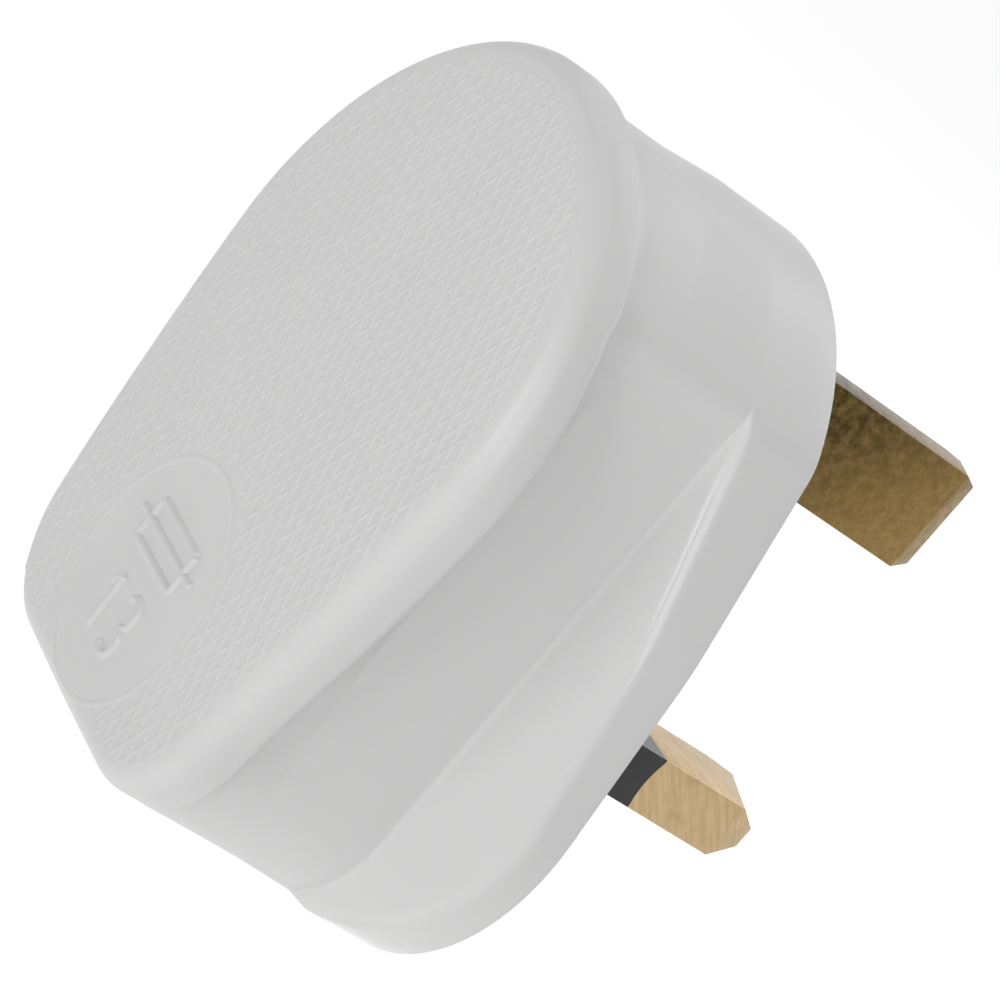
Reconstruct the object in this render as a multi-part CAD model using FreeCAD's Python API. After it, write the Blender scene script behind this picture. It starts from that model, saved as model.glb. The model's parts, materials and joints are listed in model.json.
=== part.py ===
import FreeCAD, Part
import math
import os

# A rewireable three-pin mains plug. Lengths are in millimetres and angles in degrees.
# +Z is up towards the earth pin, +Y is the way the pins point, +X is right seen from behind.
# The origin lies on the pin face (Y = 0), midway between the line pins.

# Pin layout and sections
line_pin_spacing = 22.2
earth_pin_rise = 22.2
earth_pin_width = 4.0
earth_pin_height = 8.0
earth_pin_length = 22.7
earth_tip_length = 1.75
earth_tip_side = 1.05
earth_tip_end = 0.6
line_pin_width = 6.35
line_pin_height = 4.0
line_pin_length = 17.7
line_tip_length = 2.3
line_tip_side = 1.05
line_tip_end = 1.25
sleeve_length = 8.0
sleeve_root = 1.6
sleeve_wall = 0.4
pin_slot_clearance = 0.05

# Outline of the grip head
body_depth = 22.3
head_thickness = 4.35
head_top_radius = 20.95
head_top_rise = 0.3
head_side_radius = 180.0
head_corner_offset = 8.75
head_corner_radius = 8.1
head_bottom = -19.3
head_back_round = 2.2
head_front_round = 1.8
head_neck_inset = 2.0
head_split_angle = 38.0

# Outline of the waist
waist_half_width = 16.3
waist_bottom = -19.6
waist_corner_radius = 8.0
waist_shoulder_radius = 3.75
neck_length = 2.6
waist_draft = 0.25
waist_step = 0.1

# Outline of the skirt
skirt_top_margin = 9.75
skirt_top_radius = 20.65
skirt_half_width = 23.1
skirt_corner_height = -5.65
skirt_corner_radius = 14.0
skirt_lower_taper = 9.1
skirt_upper_taper = 16.2
skirt_bend_height = 9.3
skirt_bend_radius = 25.0
skirt_shoulder_radius = 4.5
skirt_depth = 6.3
shoulder_slope = 0.5
shoulder_reach = 14.0
flat_bottom = -18.95

# Label recess in the head's face
label_radius = 8.6
label_height = -10.0
label_depth = 0.2

# Walls and seats
skirt_wall = 2.6
waist_wall = 2.1
back_wall = 2.4
inlet_wall = 2.8
base_thickness = 2.8
base_clearance = 0.15

# Cord inlet, where the cover and the base's tongue make one round hole
inlet_radius = 4.0
inlet_depth = 7.2
tongue_margin = 1.0
tongue_clearance = 0.1

# Screw that joins cover and base
cover_screw_radius = 1.95
cover_screw_head_radius = 3.4
cover_screw_head_thickness = 2.0
cover_screw_sink = 0.4
cover_screw_length = 12.0
cover_screw_tip_room = 1.0
screw_hole_clearance = 0.15
screw_head_clearance = 0.3
base_boss_radius = 4.6
base_boss_end = 6.6
washer_thickness = 0.8
washer_radius = 3.8
thread_clearance = 0.05
cover_boss_wall = 0.5
cover_boss_gap = 0.8
nut_width = 6.0
nut_thickness = 3.0
nut_clearance = 0.05

# Terminal blocks and their clamp screws
terminal_gap = 0.3
collar_margin = 0.55
collar_thickness = 1.5
terminal_width = 5.6
terminal_end = 11.0
wire_hole_radius = 1.5
wire_hole_depth = 7.6
clamp_screw_radius = 1.4
clamp_screw_head_radius = 2.2
clamp_screw_head_thickness = 1.6
clamp_screw_gap = 0.8
driver_slot_width = 0.8
driver_slot_share = 0.5

# Cartridge fuse and its clips
fuse_length = 25.4
fuse_radius = 3.175
fuse_cap_length = 5.8
fuse_cap_wall = 0.35
fuse_cap_clearance = 0.03
fuse_bore_radius = 1.9
fuse_wire_radius = 0.3
fuse_side_gap = 0.475
fuse_centre_height = 8.7
fuse_seat = 5.2
clip_strip = 0.5
clip_length = 5.0
clip_gap = 0.1
clip_arm_rise = 2.6
rivet_radius = 0.9
rivet_depth = 1.0
rivet_head_radius = 1.5
rivet_head_thickness = 0.5
fuse_bed_width = 3.0
fuse_bed_gap = 0.3

# Live terminal beside the fuse
live_post_width = 3.6
live_post_length = 4.0
live_post_end = 9.5
live_foot_reach = 2.8
live_wire_radius = 1.2
live_wire_depth = 6.3
live_screw_radius = 1.1
live_screw_head_radius = 1.7

# Cord grip
grip_screw_offset = 8.0
grip_floor_gap = 1.85
grip_pillar_radius = 2.8
grip_pillar_end = 8.6
grip_bar_width = 5.0
grip_bar_thickness = 1.8
grip_bar_overhang = 2.8
grip_screw_radius = 1.2
grip_screw_length = 7.0
grip_screw_head_radius = 2.1
grip_screw_head_thickness = 1.5

# Places worked out from the sizes above
line_pin_offset = line_pin_spacing / 2
skirt_top = earth_pin_rise + skirt_top_margin
skirt_top_centre = skirt_top - skirt_top_radius
skirt_corner_offset = skirt_half_width - skirt_corner_radius
head_top_centre = skirt_top_centre + head_top_rise
head_rim_start = body_depth - head_thickness
waist_end_depth = head_rim_start - neck_length
waist_root_depth = head_rim_start + head_front_round
waist_top_radius = skirt_top_radius - waist_step
collar_end = base_thickness + collar_thickness
cavity_end = body_depth - back_wall
cavity_inset = waist_wall + waist_draft
cavity_side = waist_half_width - cavity_inset
inlet_floor = flat_bottom + inlet_wall
slot_half_width = inlet_radius + tongue_margin
earth_collar_low = earth_pin_rise - earth_pin_height / 2 - collar_margin
line_collar_high = line_pin_height / 2 + collar_margin
live_post_high = earth_collar_low - terminal_gap
live_post_low = live_post_high - live_post_length
nut_room = nut_width / 2 + nut_clearance
cover_boss_radius = math.hypot(nut_room, nut_room) + cover_boss_wall
cover_screw_height = live_post_low - terminal_gap - cover_boss_radius
cover_screw_seat = cover_screw_sink + cover_screw_head_thickness
cover_screw_end = cover_screw_seat + cover_screw_length
washer_end = base_boss_end + washer_thickness
cover_boss_start = washer_end + cover_boss_gap
clip_half_width = fuse_radius + clip_gap + clip_strip
fuse_offset = cavity_side - fuse_side_gap - clip_half_width
live_post_offset = fuse_offset - clip_half_width - terminal_gap - live_post_width / 2
fuse_centre_depth = fuse_seat + clip_strip + rivet_head_thickness + clip_gap + fuse_radius
fuse_tube_radius = fuse_radius - fuse_cap_wall - fuse_cap_clearance
fuse_low = fuse_centre_height - fuse_length / 2
fuse_high = fuse_centre_height + fuse_length / 2
clip_offset = fuse_length / 2 - fuse_cap_length / 2
lower_clip_height = fuse_centre_height - clip_offset
upper_clip_height = fuse_centre_height + clip_offset
grip_height = inlet_floor + grip_floor_gap + grip_pillar_radius
grip_bar_back = grip_pillar_end + grip_bar_thickness
far = body_depth + skirt_top + earth_pin_length


def vec(x, y, z):
    return FreeCAD.Vector(x, y, z)


def on_circle(centre, radius, angle):
    # A point of the XZ plane at an angle from +X towards +Z.
    turn = math.radians(angle)
    return (centre[0] + radius * math.cos(turn), centre[1] + radius * math.sin(turn))


def arc_to(centre, radius, start, end):
    # The middle and the end point of an arc, as one step of a half outline.
    return (on_circle(centre, radius, (start + end) / 2), on_circle(centre, radius, end))


def line_to(point):
    return (None, point)


def mirrored_wire(start, steps, depth):
    # Closes a half outline from the bottom centre to the top centre with its mirror image.
    right = []
    here = start
    for middle, end in steps:
        right.append((here, middle, end))
        here = end
    left = []
    for first, middle, last in reversed(right):
        flipped = None if middle is None else (-middle[0], middle[1])
        left.append(((-last[0], last[1]), flipped, (-first[0], first[1])))
    edges = []
    for first, middle, last in right + left:
        a = vec(first[0], -depth, first[1])
        b = vec(last[0], -depth, last[1])
        if middle is None:
            edges.append(Part.LineSegment(a, b).toShape())
        else:
            edges.append(Part.Arc(a, vec(middle[0], -depth, middle[1]), b).toShape())
    return Part.Wire(edges)


def direction(start, end):
    # Angle of the way from one point of the XZ plane to another, from +X towards +Z.
    return math.degrees(math.atan2(end[1] - start[1], end[0] - start[0]))


def bow_centre(upper, upper_gap, lower, lower_gap):
    # The point on the far side at given distances from an upper and a lower point.
    run = lower[0] - upper[0]
    fall = lower[1] - upper[1]
    span = math.hypot(run, fall)
    along = (upper_gap**2 - lower_gap**2 + span**2) / (2 * span)
    aside = math.sqrt(upper_gap**2 - along**2)
    x = upper[0] + (along * run + aside * fall) / span
    z = upper[1] + (along * fall - aside * run) / span
    return (x, z)


def head_outline(depth, inset=0.0):
    # Half-round top, gently bowed sides that draw in downwards, and two round lower corners.
    top = (0.0, head_top_centre)
    corner = (head_corner_offset, head_bottom + head_corner_radius)
    side = bow_centre(top, head_side_radius - head_top_radius, corner, head_side_radius - head_corner_radius)
    low_end = direction(side, corner)
    high_end = direction(side, top)
    top_radius = head_top_radius - inset
    bottom = head_bottom + inset
    steps = [
        line_to((corner[0], bottom)),
        arc_to(corner, head_corner_radius - inset, -90, low_end),
        arc_to(side, head_side_radius - inset, low_end, high_end),
        arc_to(top, top_radius, high_end, head_split_angle),
        arc_to(top, top_radius, head_split_angle, 90),
    ]
    return mirrored_wire((0.0, bottom), steps, depth)


def waist_outline(depth, inset=0.0):
    # Straight sides, round lower corners and a top that follows the skirt's top.
    side = waist_half_width - inset
    low = (waist_half_width - waist_corner_radius, waist_bottom + waist_corner_radius)
    top = (0.0, skirt_top_centre)
    run = waist_half_width - waist_shoulder_radius
    rise = math.sqrt((waist_top_radius - waist_shoulder_radius) ** 2 - run**2)
    high = (run, skirt_top_centre + rise)
    meet = math.degrees(math.atan2(rise, run))
    bottom = waist_bottom + inset
    steps = [
        line_to((low[0], bottom)),
        arc_to(low, waist_corner_radius - inset, -90, 0),
        line_to((side, high[1])),
        arc_to(high, waist_shoulder_radius - inset, 0, meet),
        arc_to(top, waist_top_radius - inset, meet, 90),
    ]
    return mirrored_wire((0.0, bottom), steps, depth)


def side_distance(point, angle):
    # Distance from the origin to the line through a point with its normal at an angle.
    turn = math.radians(angle)
    return point[0] * math.cos(turn) + point[1] * math.sin(turn)


def skirt_outline(depth, inset=0.0):
    # Large lower corners, sides in two slopes with a soft bend, and a round top.
    low = (skirt_corner_offset, skirt_corner_height)
    lower = math.radians(skirt_lower_taper)
    upper = math.radians(skirt_upper_taper)
    lower_side = side_distance(low, skirt_lower_taper) + skirt_corner_radius
    bend_x = (lower_side - skirt_bend_height * math.sin(lower)) / math.cos(lower)
    upper_side = side_distance((bend_x, skirt_bend_height), skirt_upper_taper)
    lower_gap = lower_side - skirt_bend_radius
    upper_gap = upper_side - skirt_bend_radius
    spread = math.sin(upper - lower)
    bend = (
        (lower_gap * math.sin(upper) - upper_gap * math.sin(lower)) / spread,
        (upper_gap * math.cos(lower) - lower_gap * math.cos(upper)) / spread,
    )
    top = (0.0, skirt_top_centre)
    reach = skirt_top_radius - skirt_shoulder_radius
    lean = upper_side - skirt_shoulder_radius - side_distance(top, skirt_upper_taper)
    meet = skirt_upper_taper + math.degrees(math.acos(lean / reach))
    high = on_circle(top, reach, meet)
    low_radius = skirt_corner_radius - inset
    bottom = skirt_corner_height - low_radius
    steps = [
        line_to((low[0], bottom)),
        arc_to(low, low_radius, -90, skirt_lower_taper),
        line_to(on_circle(bend, skirt_bend_radius - inset, skirt_lower_taper)),
        arc_to(bend, skirt_bend_radius - inset, skirt_lower_taper, skirt_upper_taper),
        line_to(on_circle(high, skirt_shoulder_radius - inset, skirt_upper_taper)),
        arc_to(high, skirt_shoulder_radius - inset, skirt_upper_taper, meet),
        arc_to(top, skirt_top_radius - inset, meet, 90),
    ]
    return mirrored_wire((0.0, bottom), steps, depth)


def prism(wire, length):
    # A solid from a wire of the XZ plane, towards the back.
    return Part.Face(wire).extrude(vec(0, -length, 0))


def loft(first, last):
    return Part.makeLoft([first, last], True, True)


def block(x0, x1, y0, y1, z0, z1):
    return Part.makeBox(x1 - x0, y1 - y0, z1 - z0, vec(x0, y0, z0))


def rod(radius, x, z, front, back):
    # A round bar along Y between two depths behind the pin face.
    return Part.makeCylinder(radius, back - front, vec(x, -front, z), vec(0, -1, 0))


def upright_rod(radius, x, depth, z0, z1):
    return Part.makeCylinder(radius, z1 - z0, vec(x, -depth, z0), vec(0, 0, 1))


def rectangle(x, z, width, height, y):
    w = width / 2
    h = height / 2
    corners = [(x - w, z - h), (x + w, z - h), (x + w, z + h), (x - w, z + h), (x - w, z - h)]
    return Part.makePolygon([vec(a, y, b) for a, b in corners])


def straight_bar(x, z, width, height, y0, y1):
    return block(x - width / 2, x + width / 2, y0, y1, z - height / 2, z + height / 2)


def driver_slot(x, z, depth_of_face, head_radius, head_thickness, outward):
    # A straight slot across a screw head whose face looks along outward (+1 front, -1 back).
    sink = head_thickness * driver_slot_share
    face = -depth_of_face
    low = face - sink if outward > 0 else face
    half = driver_slot_width / 2
    return block(x - head_radius, x + head_radius, low, low + sink, z - half, z + half)


def bottom_trim(front, back):
    return block(-far, far, -back, -front, -far, flat_bottom)


def end_edges(shape, pick):
    # The edges round a shape's end face: pick is min for the back end, max for the front end.
    return pick(shape.Faces, key=lambda face: face.CenterOfMass.y).Edges


def skirt_solid():
    # The skirt's prism, cut back by the shoulder that slopes out from the waist.
    outer = prism(skirt_outline(0.0), skirt_depth)
    spread_depth = skirt_depth - shoulder_reach * shoulder_slope
    shoulder = loft(waist_outline(skirt_depth), waist_outline(spread_depth, -shoulder_reach))
    return outer.common(shoulder)


def head_solid():
    plain = prism(head_outline(head_rim_start), body_depth - head_rim_start)
    rounded = plain.makeFillet(head_back_round, end_edges(plain, min))
    return rounded.makeFillet(head_front_round, end_edges(rounded, max))


def cover_shell():
    # Outside form of the cover: skirt, waist, neck and head in one.
    waist = loft(waist_outline(skirt_depth), waist_outline(waist_root_depth, waist_draft))
    neck_start = waist_outline(waist_end_depth, waist_draft)
    neck = loft(neck_start, head_outline(head_rim_start, head_neck_inset))
    body = skirt_solid().fuse([waist, neck]).cut(bottom_trim(0.0, waist_root_depth))
    return body.fuse(head_solid()).removeSplitter()


def cover_cavity():
    # The pocket for the base and the space behind it.
    pocket = prism(skirt_outline(0.0, skirt_wall), base_thickness)
    inside = prism(waist_outline(base_thickness, cavity_inset), cavity_end - base_thickness)
    return pocket.fuse(inside.cut(block(-far, far, -far, far, -far, inlet_floor)))


def nut_pocket(clearance):
    width = nut_width + 2 * clearance
    back = cover_boss_start + nut_thickness + clearance
    return straight_bar(0, cover_screw_height, width, width, -back, -cover_boss_start)


def inlet_round():
    return upright_rod(inlet_radius, 0, inlet_depth, -far, inlet_floor)


def inlet_slot():
    # A slot from the rim for the base's tongue, with the round inlet's half at its end.
    slot = block(-slot_half_width, slot_half_width, -inlet_depth, far, -far, inlet_floor)
    return slot.fuse(inlet_round())


def cover_boss():
    # The post in the cover that holds the nut and clears the screw.
    boss = rod(cover_boss_radius, 0, cover_screw_height, cover_boss_start, cavity_end)
    room = cover_screw_radius + screw_hole_clearance
    screw_room = rod(room, 0, cover_screw_height, 0, cover_screw_end + cover_screw_tip_room)
    return boss.cut(nut_pocket(nut_clearance)).cut(screw_room)


def rear_cover():
    shell = cover_shell().cut(cover_cavity()).fuse(cover_boss())
    label = rod(label_radius, 0, label_height, body_depth - label_depth, body_depth)
    return shell.cut(inlet_slot()).cut(label).removeSplitter()


def pin_section(kind):
    # Width and height of a pin's bar.
    if kind == "earth":
        return earth_pin_width, earth_pin_height
    return line_pin_width, line_pin_height


def pin_place(kind):
    if kind == "earth":
        return 0.0, earth_pin_rise
    side = 1 if kind == "live" else -1
    return side * line_pin_offset, 0.0


def pin_slot(kind):
    x, z = pin_place(kind)
    width, height = pin_section(kind)
    gap = 2 * pin_slot_clearance
    return straight_bar(x, z, width + gap, height + gap, -base_thickness, 0)


def pin_bar(kind):
    # The bar from the plate's back to its tapered tip.
    x, z = pin_place(kind)
    width, height = pin_section(kind)
    earth = kind == "earth"
    length = earth_pin_length if earth else line_pin_length
    tip = earth_tip_length if earth else line_tip_length
    side = earth_tip_side if earth else line_tip_side
    end = earth_tip_end if earth else line_tip_end
    bar = straight_bar(x, z, width, height, -base_thickness, length - tip)
    small = rectangle(x, z, width - 2 * side, height - 2 * end, length)
    return bar.fuse(loft(rectangle(x, z, width, height, length - tip), small))


def sleeve_body(kind, inner):
    x, z = pin_place(kind)
    shrink = 2 * sleeve_wall if inner else 0
    width = line_pin_width - shrink
    height = line_pin_height - shrink
    return straight_bar(x, z, width, height, -sleeve_root, sleeve_length)


def pin_sleeve(kind):
    return sleeve_body(kind, False).cut(sleeve_body(kind, True))


def inner_place(kind):
    # The blocks of the line pins sit a little inwards, clear of the cover's wall.
    x, z = pin_place(kind)
    if kind == "earth":
        return x, z
    reach = cavity_side - base_clearance - collar_margin - terminal_width / 2
    return math.copysign(reach, x), z


def collar(kind):
    # The shoulder that rests on the plate's back.
    x, z = inner_place(kind)
    height = pin_section(kind)[1] + 2 * collar_margin
    width = terminal_width + 2 * collar_margin
    return straight_bar(x, z, width, height, -collar_end, -base_thickness)


def wire_terminal(kind):
    # A block with a hole for the wire and one for its clamp screw.
    x, z = inner_place(kind)
    height = pin_section(kind)[1]
    post = straight_bar(x, z, terminal_width, height, -terminal_end, -collar_end)
    wire = upright_rod(wire_hole_radius, x, wire_hole_depth, z - height, z + height)
    thread = rod(clamp_screw_radius, x, z, wire_hole_depth, terminal_end)
    return post.cut(wire.fuse(thread))


def earth_pin():
    return pin_bar("earth").fuse([collar("earth"), wire_terminal("earth")]).removeSplitter()


def neutral_pin():
    whole = pin_bar("neutral").fuse([collar("neutral"), wire_terminal("neutral")])
    return whole.cut(pin_sleeve("neutral")).removeSplitter()


def live_pin():
    # The live pin's inner end is a flat seat, as long as the fuse clip needs.
    x, z = inner_place("live")
    low = lower_clip_height - clip_length / 2
    high = z + line_pin_height / 2
    half = terminal_width / 2
    seat = block(x - half, x + half, -fuse_seat, -base_thickness, low, high)
    rivet = rod(rivet_radius, fuse_offset, lower_clip_height, fuse_seat - rivet_depth, fuse_seat)
    whole = pin_bar("live").fuse([collar("live"), seat])
    return whole.cut(pin_sleeve("live")).cut(rivet).removeSplitter()


def clamp_screw(x, z, face_depth, tip_depth, radius, head_radius):
    # A cheese-head screw seen from behind, its head clear of the block's face.
    seat = face_depth + clamp_screw_gap
    top = seat + clamp_screw_head_thickness
    shank = rod(radius - thread_clearance, x, z, tip_depth, seat)
    head = rod(head_radius, x, z, seat, top)
    slot = driver_slot(x, z, top, head_radius, clamp_screw_head_thickness, -1)
    return shank.fuse(head).cut(slot).removeSplitter()


def block_screw(kind):
    x, z = inner_place(kind)
    return clamp_screw(x, z, terminal_end, wire_hole_depth, clamp_screw_radius, clamp_screw_head_radius)


def live_post_place():
    return live_post_offset, (live_post_low + live_post_high) / 2


def live_terminal():
    # A foot under the fuse clip and a post with the wire's hole.
    x, z = live_post_place()
    high = upper_clip_height + clip_length / 2
    foot = block(x, fuse_offset + live_foot_reach, -fuse_seat, -base_thickness, live_post_low, high)
    post = straight_bar(x, z, live_post_width, live_post_length, -live_post_end, -base_thickness)
    wire = upright_rod(live_wire_radius, x, live_wire_depth, live_post_low, live_post_high)
    thread = rod(live_screw_radius, x, z, live_wire_depth, live_post_end)
    rivet = rod(rivet_radius, fuse_offset, upper_clip_height, fuse_seat - rivet_depth, fuse_seat)
    return foot.fuse(post).cut(wire).cut(thread).cut(rivet).removeSplitter()


def live_terminal_screw():
    x, z = live_post_place()
    return clamp_screw(x, z, live_post_end, live_wire_depth, live_screw_radius, live_screw_head_radius)


def fuse_clip(height):
    # A U of spring strip, open to the back, with a hole for its rivet.
    outer = clip_half_width
    half = clip_half_width - clip_strip
    low = height - clip_length / 2
    high = height + clip_length / 2
    end = fuse_centre_depth + clip_arm_rise
    floor = fuse_seat + clip_strip
    whole = block(fuse_offset - outer, fuse_offset + outer, -end, -fuse_seat, low, high)
    room = block(fuse_offset - half, fuse_offset + half, -end, -floor, low, high)
    return whole.cut(room).cut(rod(rivet_radius, fuse_offset, height, fuse_seat, floor))


def fuse_clip_rivets():
    floor = fuse_seat + clip_strip
    rivets = []
    for height in (lower_clip_height, upper_clip_height):
        shank = rod(rivet_radius, fuse_offset, height, fuse_seat - rivet_depth, floor)
        head = rod(rivet_head_radius, fuse_offset, height, floor, floor + rivet_head_thickness)
        rivets.append(shank.fuse(head).removeSplitter())
    return Part.makeCompound(rivets)


def fuse_rod(radius, z0, z1):
    return upright_rod(radius, fuse_offset, fuse_centre_depth, z0, z1)


def fuse_tube():
    low = fuse_low + fuse_cap_wall
    high = fuse_high - fuse_cap_wall
    return fuse_rod(fuse_tube_radius, low, high).cut(fuse_rod(fuse_bore_radius, low, high))


def fuse_end_caps():
    bore = fuse_radius - fuse_cap_wall
    lower = fuse_rod(fuse_radius, fuse_low, fuse_low + fuse_cap_length)
    upper = fuse_rod(fuse_radius, fuse_high - fuse_cap_length, fuse_high)
    inside = fuse_rod(bore, fuse_low + fuse_cap_wall, fuse_high - fuse_cap_wall)
    return Part.makeCompound([lower.cut(inside), upper.cut(inside)])


def fuse_wire():
    return fuse_rod(fuse_wire_radius, fuse_low + fuse_cap_wall, fuse_high - fuse_cap_wall)


def grip_places():
    return [(-grip_screw_offset, grip_height), (grip_screw_offset, grip_height)]


def grip_screw_tip():
    return grip_bar_back - grip_screw_length


def cord_grip_bar():
    half = grip_screw_offset + grip_bar_overhang
    bar = straight_bar(0, grip_height, 2 * half, grip_bar_width, -grip_bar_back, -grip_pillar_end)
    for x, z in grip_places():
        bar = bar.cut(rod(grip_screw_radius + screw_hole_clearance, x, z, grip_pillar_end, grip_bar_back))
    return bar


def cord_grip_screws():
    screws = []
    top = grip_bar_back + grip_screw_head_thickness
    for x, z in grip_places():
        shank = rod(grip_screw_radius - thread_clearance, x, z, grip_screw_tip(), grip_bar_back)
        head = rod(grip_screw_head_radius, x, z, grip_bar_back, top)
        slot = driver_slot(x, z, top, grip_screw_head_radius, grip_screw_head_thickness, -1)
        screws.append(shank.fuse(head).cut(slot).removeSplitter())
    return Part.makeCompound(screws)


def cover_screw():
    z = cover_screw_height
    head = rod(cover_screw_head_radius, 0, z, cover_screw_sink, cover_screw_seat)
    shank = rod(cover_screw_radius, 0, z, cover_screw_seat, cover_screw_end)
    slot = driver_slot(0, z, cover_screw_sink, cover_screw_head_radius, cover_screw_head_thickness, 1)
    return head.fuse(shank).cut(slot).removeSplitter()


def screw_retaining_washer():
    ring = rod(washer_radius, 0, cover_screw_height, base_boss_end, washer_end)
    hole = cover_screw_radius + thread_clearance
    return ring.cut(rod(hole, 0, cover_screw_height, base_boss_end, washer_end))


def cover_nut():
    back = cover_boss_start + nut_thickness
    nut = straight_bar(0, cover_screw_height, nut_width, nut_width, -back, -cover_boss_start)
    hole = cover_screw_radius + thread_clearance
    return nut.cut(rod(hole, 0, cover_screw_height, cover_boss_start, back))


def inlet_tongue():
    # The wall that fills the cover's slot up to the lower half of the round inlet.
    half = slot_half_width - tongue_clearance
    wall = block(-half, half, -inlet_depth, 0, flat_bottom, inlet_floor)
    root = block(-half, half, -base_thickness, 0, flat_bottom, skirt_corner_height)
    return wall.cut(inlet_round()).fuse(root)


def base_bosses():
    # Raised features on the plate's back: screw boss, fuse bed and cord grip pillars.
    boss = rod(base_boss_radius, 0, cover_screw_height, base_thickness, base_boss_end)
    bed_end = fuse_centre_depth - fuse_tube_radius - fuse_bed_gap
    bed_low = line_collar_high + terminal_gap
    bed_high = live_post_low - terminal_gap
    half = fuse_bed_width / 2
    bed = block(fuse_offset - half, fuse_offset + half, -bed_end, -base_thickness, bed_low, bed_high)
    pillars = [rod(grip_pillar_radius, x, z, base_thickness, grip_pillar_end) for x, z in grip_places()]
    return [boss, bed] + pillars


def base():
    # The plate with its raised features, the pin slots and the screw holes.
    plate = prism(skirt_outline(0.0, skirt_wall + base_clearance), base_thickness)
    body = plate.fuse(base_bosses() + [inlet_tongue()])
    for kind in ("earth", "live", "neutral"):
        body = body.cut(pin_slot(kind))
    for x, z in grip_places():
        body = body.cut(rod(grip_screw_radius, x, z, grip_screw_tip(), grip_pillar_end))
    z = cover_screw_height
    body = body.cut(rod(cover_screw_head_radius + screw_head_clearance, 0, z, 0, cover_screw_seat))
    body = body.cut(rod(cover_screw_radius + screw_hole_clearance, 0, z, 0, base_boss_end))
    return body.removeSplitter()


def export(name, shape):
    shape.exportStep(os.path.join("parts", name + ".step"))


def all_pieces():
    return {
        "rear_cover": rear_cover(),
        "base": base(),
        "earth_pin": earth_pin(),
        "neutral_pin": neutral_pin(),
        "live_pin": live_pin(),
        "neutral_pin_sleeve": pin_sleeve("neutral"),
        "live_pin_sleeve": pin_sleeve("live"),
        "earth_terminal_screw": block_screw("earth"),
        "neutral_terminal_screw": block_screw("neutral"),
        "live_terminal": live_terminal(),
        "live_terminal_screw": live_terminal_screw(),
        "live_pin_fuse_clip": fuse_clip(lower_clip_height),
        "terminal_fuse_clip": fuse_clip(upper_clip_height),
        "fuse_clip_rivets": fuse_clip_rivets(),
        "fuse_tube": fuse_tube(),
        "fuse_end_caps": fuse_end_caps(),
        "fuse_wire": fuse_wire(),
        "cord_grip_bar": cord_grip_bar(),
        "cord_grip_screws": cord_grip_screws(),
        "cover_screw": cover_screw(),
        "screw_retaining_washer": screw_retaining_washer(),
        "cover_nut": cover_nut(),
    }


os.makedirs("parts", exist_ok=True)
for name, shape in all_pieces().items():
    export(name, shape)
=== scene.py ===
"""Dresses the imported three-pin mains plug and sets it in a plain white studio.

The sizes in the dataclasses are millimetres in the part's own frame, and meshes are made in metres.
+Z is up towards the earth pin, +Y is the way the pins point and +X is the live side.
"""

import json
import logging
import math
from dataclasses import dataclass
from enum import Enum

import bmesh
import bpy
import numpy as np
from mathutils import Matrix, Vector
from mathutils.bvhtree import BVHTree

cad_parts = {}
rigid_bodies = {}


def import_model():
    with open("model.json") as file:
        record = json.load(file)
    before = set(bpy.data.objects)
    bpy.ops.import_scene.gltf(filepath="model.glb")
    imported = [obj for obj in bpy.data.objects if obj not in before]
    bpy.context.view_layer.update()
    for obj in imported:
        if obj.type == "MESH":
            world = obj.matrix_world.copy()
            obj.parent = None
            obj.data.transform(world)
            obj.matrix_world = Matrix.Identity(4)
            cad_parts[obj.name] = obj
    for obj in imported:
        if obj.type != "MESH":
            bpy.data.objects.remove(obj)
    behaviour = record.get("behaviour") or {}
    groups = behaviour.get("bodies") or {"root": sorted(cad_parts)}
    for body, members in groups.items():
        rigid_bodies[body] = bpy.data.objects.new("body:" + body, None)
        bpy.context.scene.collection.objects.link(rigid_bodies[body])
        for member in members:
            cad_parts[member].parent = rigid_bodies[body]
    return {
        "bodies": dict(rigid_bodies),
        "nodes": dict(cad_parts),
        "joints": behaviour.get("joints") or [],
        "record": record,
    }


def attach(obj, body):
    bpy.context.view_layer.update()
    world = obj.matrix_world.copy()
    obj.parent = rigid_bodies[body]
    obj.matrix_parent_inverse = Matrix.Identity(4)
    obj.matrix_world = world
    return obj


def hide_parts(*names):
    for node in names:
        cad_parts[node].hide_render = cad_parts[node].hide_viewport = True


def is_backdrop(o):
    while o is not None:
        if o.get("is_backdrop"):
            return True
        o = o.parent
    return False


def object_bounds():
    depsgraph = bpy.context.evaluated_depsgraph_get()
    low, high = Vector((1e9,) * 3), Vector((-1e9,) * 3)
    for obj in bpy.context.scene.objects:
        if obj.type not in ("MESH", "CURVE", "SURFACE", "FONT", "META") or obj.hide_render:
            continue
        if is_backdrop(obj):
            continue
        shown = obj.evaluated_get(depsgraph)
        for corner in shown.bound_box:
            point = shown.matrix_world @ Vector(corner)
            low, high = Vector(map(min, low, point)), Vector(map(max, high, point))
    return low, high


MM = 0.001
ROOT_BODY = "root"
TINY = 1e-6
LARGEST_TRIM = 0.48
log = logging.getLogger("plug")

Colour = tuple[float, float, float]
Place = tuple[float, float]
Faces = list[tuple[int, ...]]


class Slot(Enum):
    """Names of two material slots of the record; no piece here takes them."""

    WHITE_MOULDING = "white_moulding"
    PIN_BRASS = "pin_brass"


class Axis(Enum):
    """Part axes that a finish can change along."""

    Y = 1
    Z = 2


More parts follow.
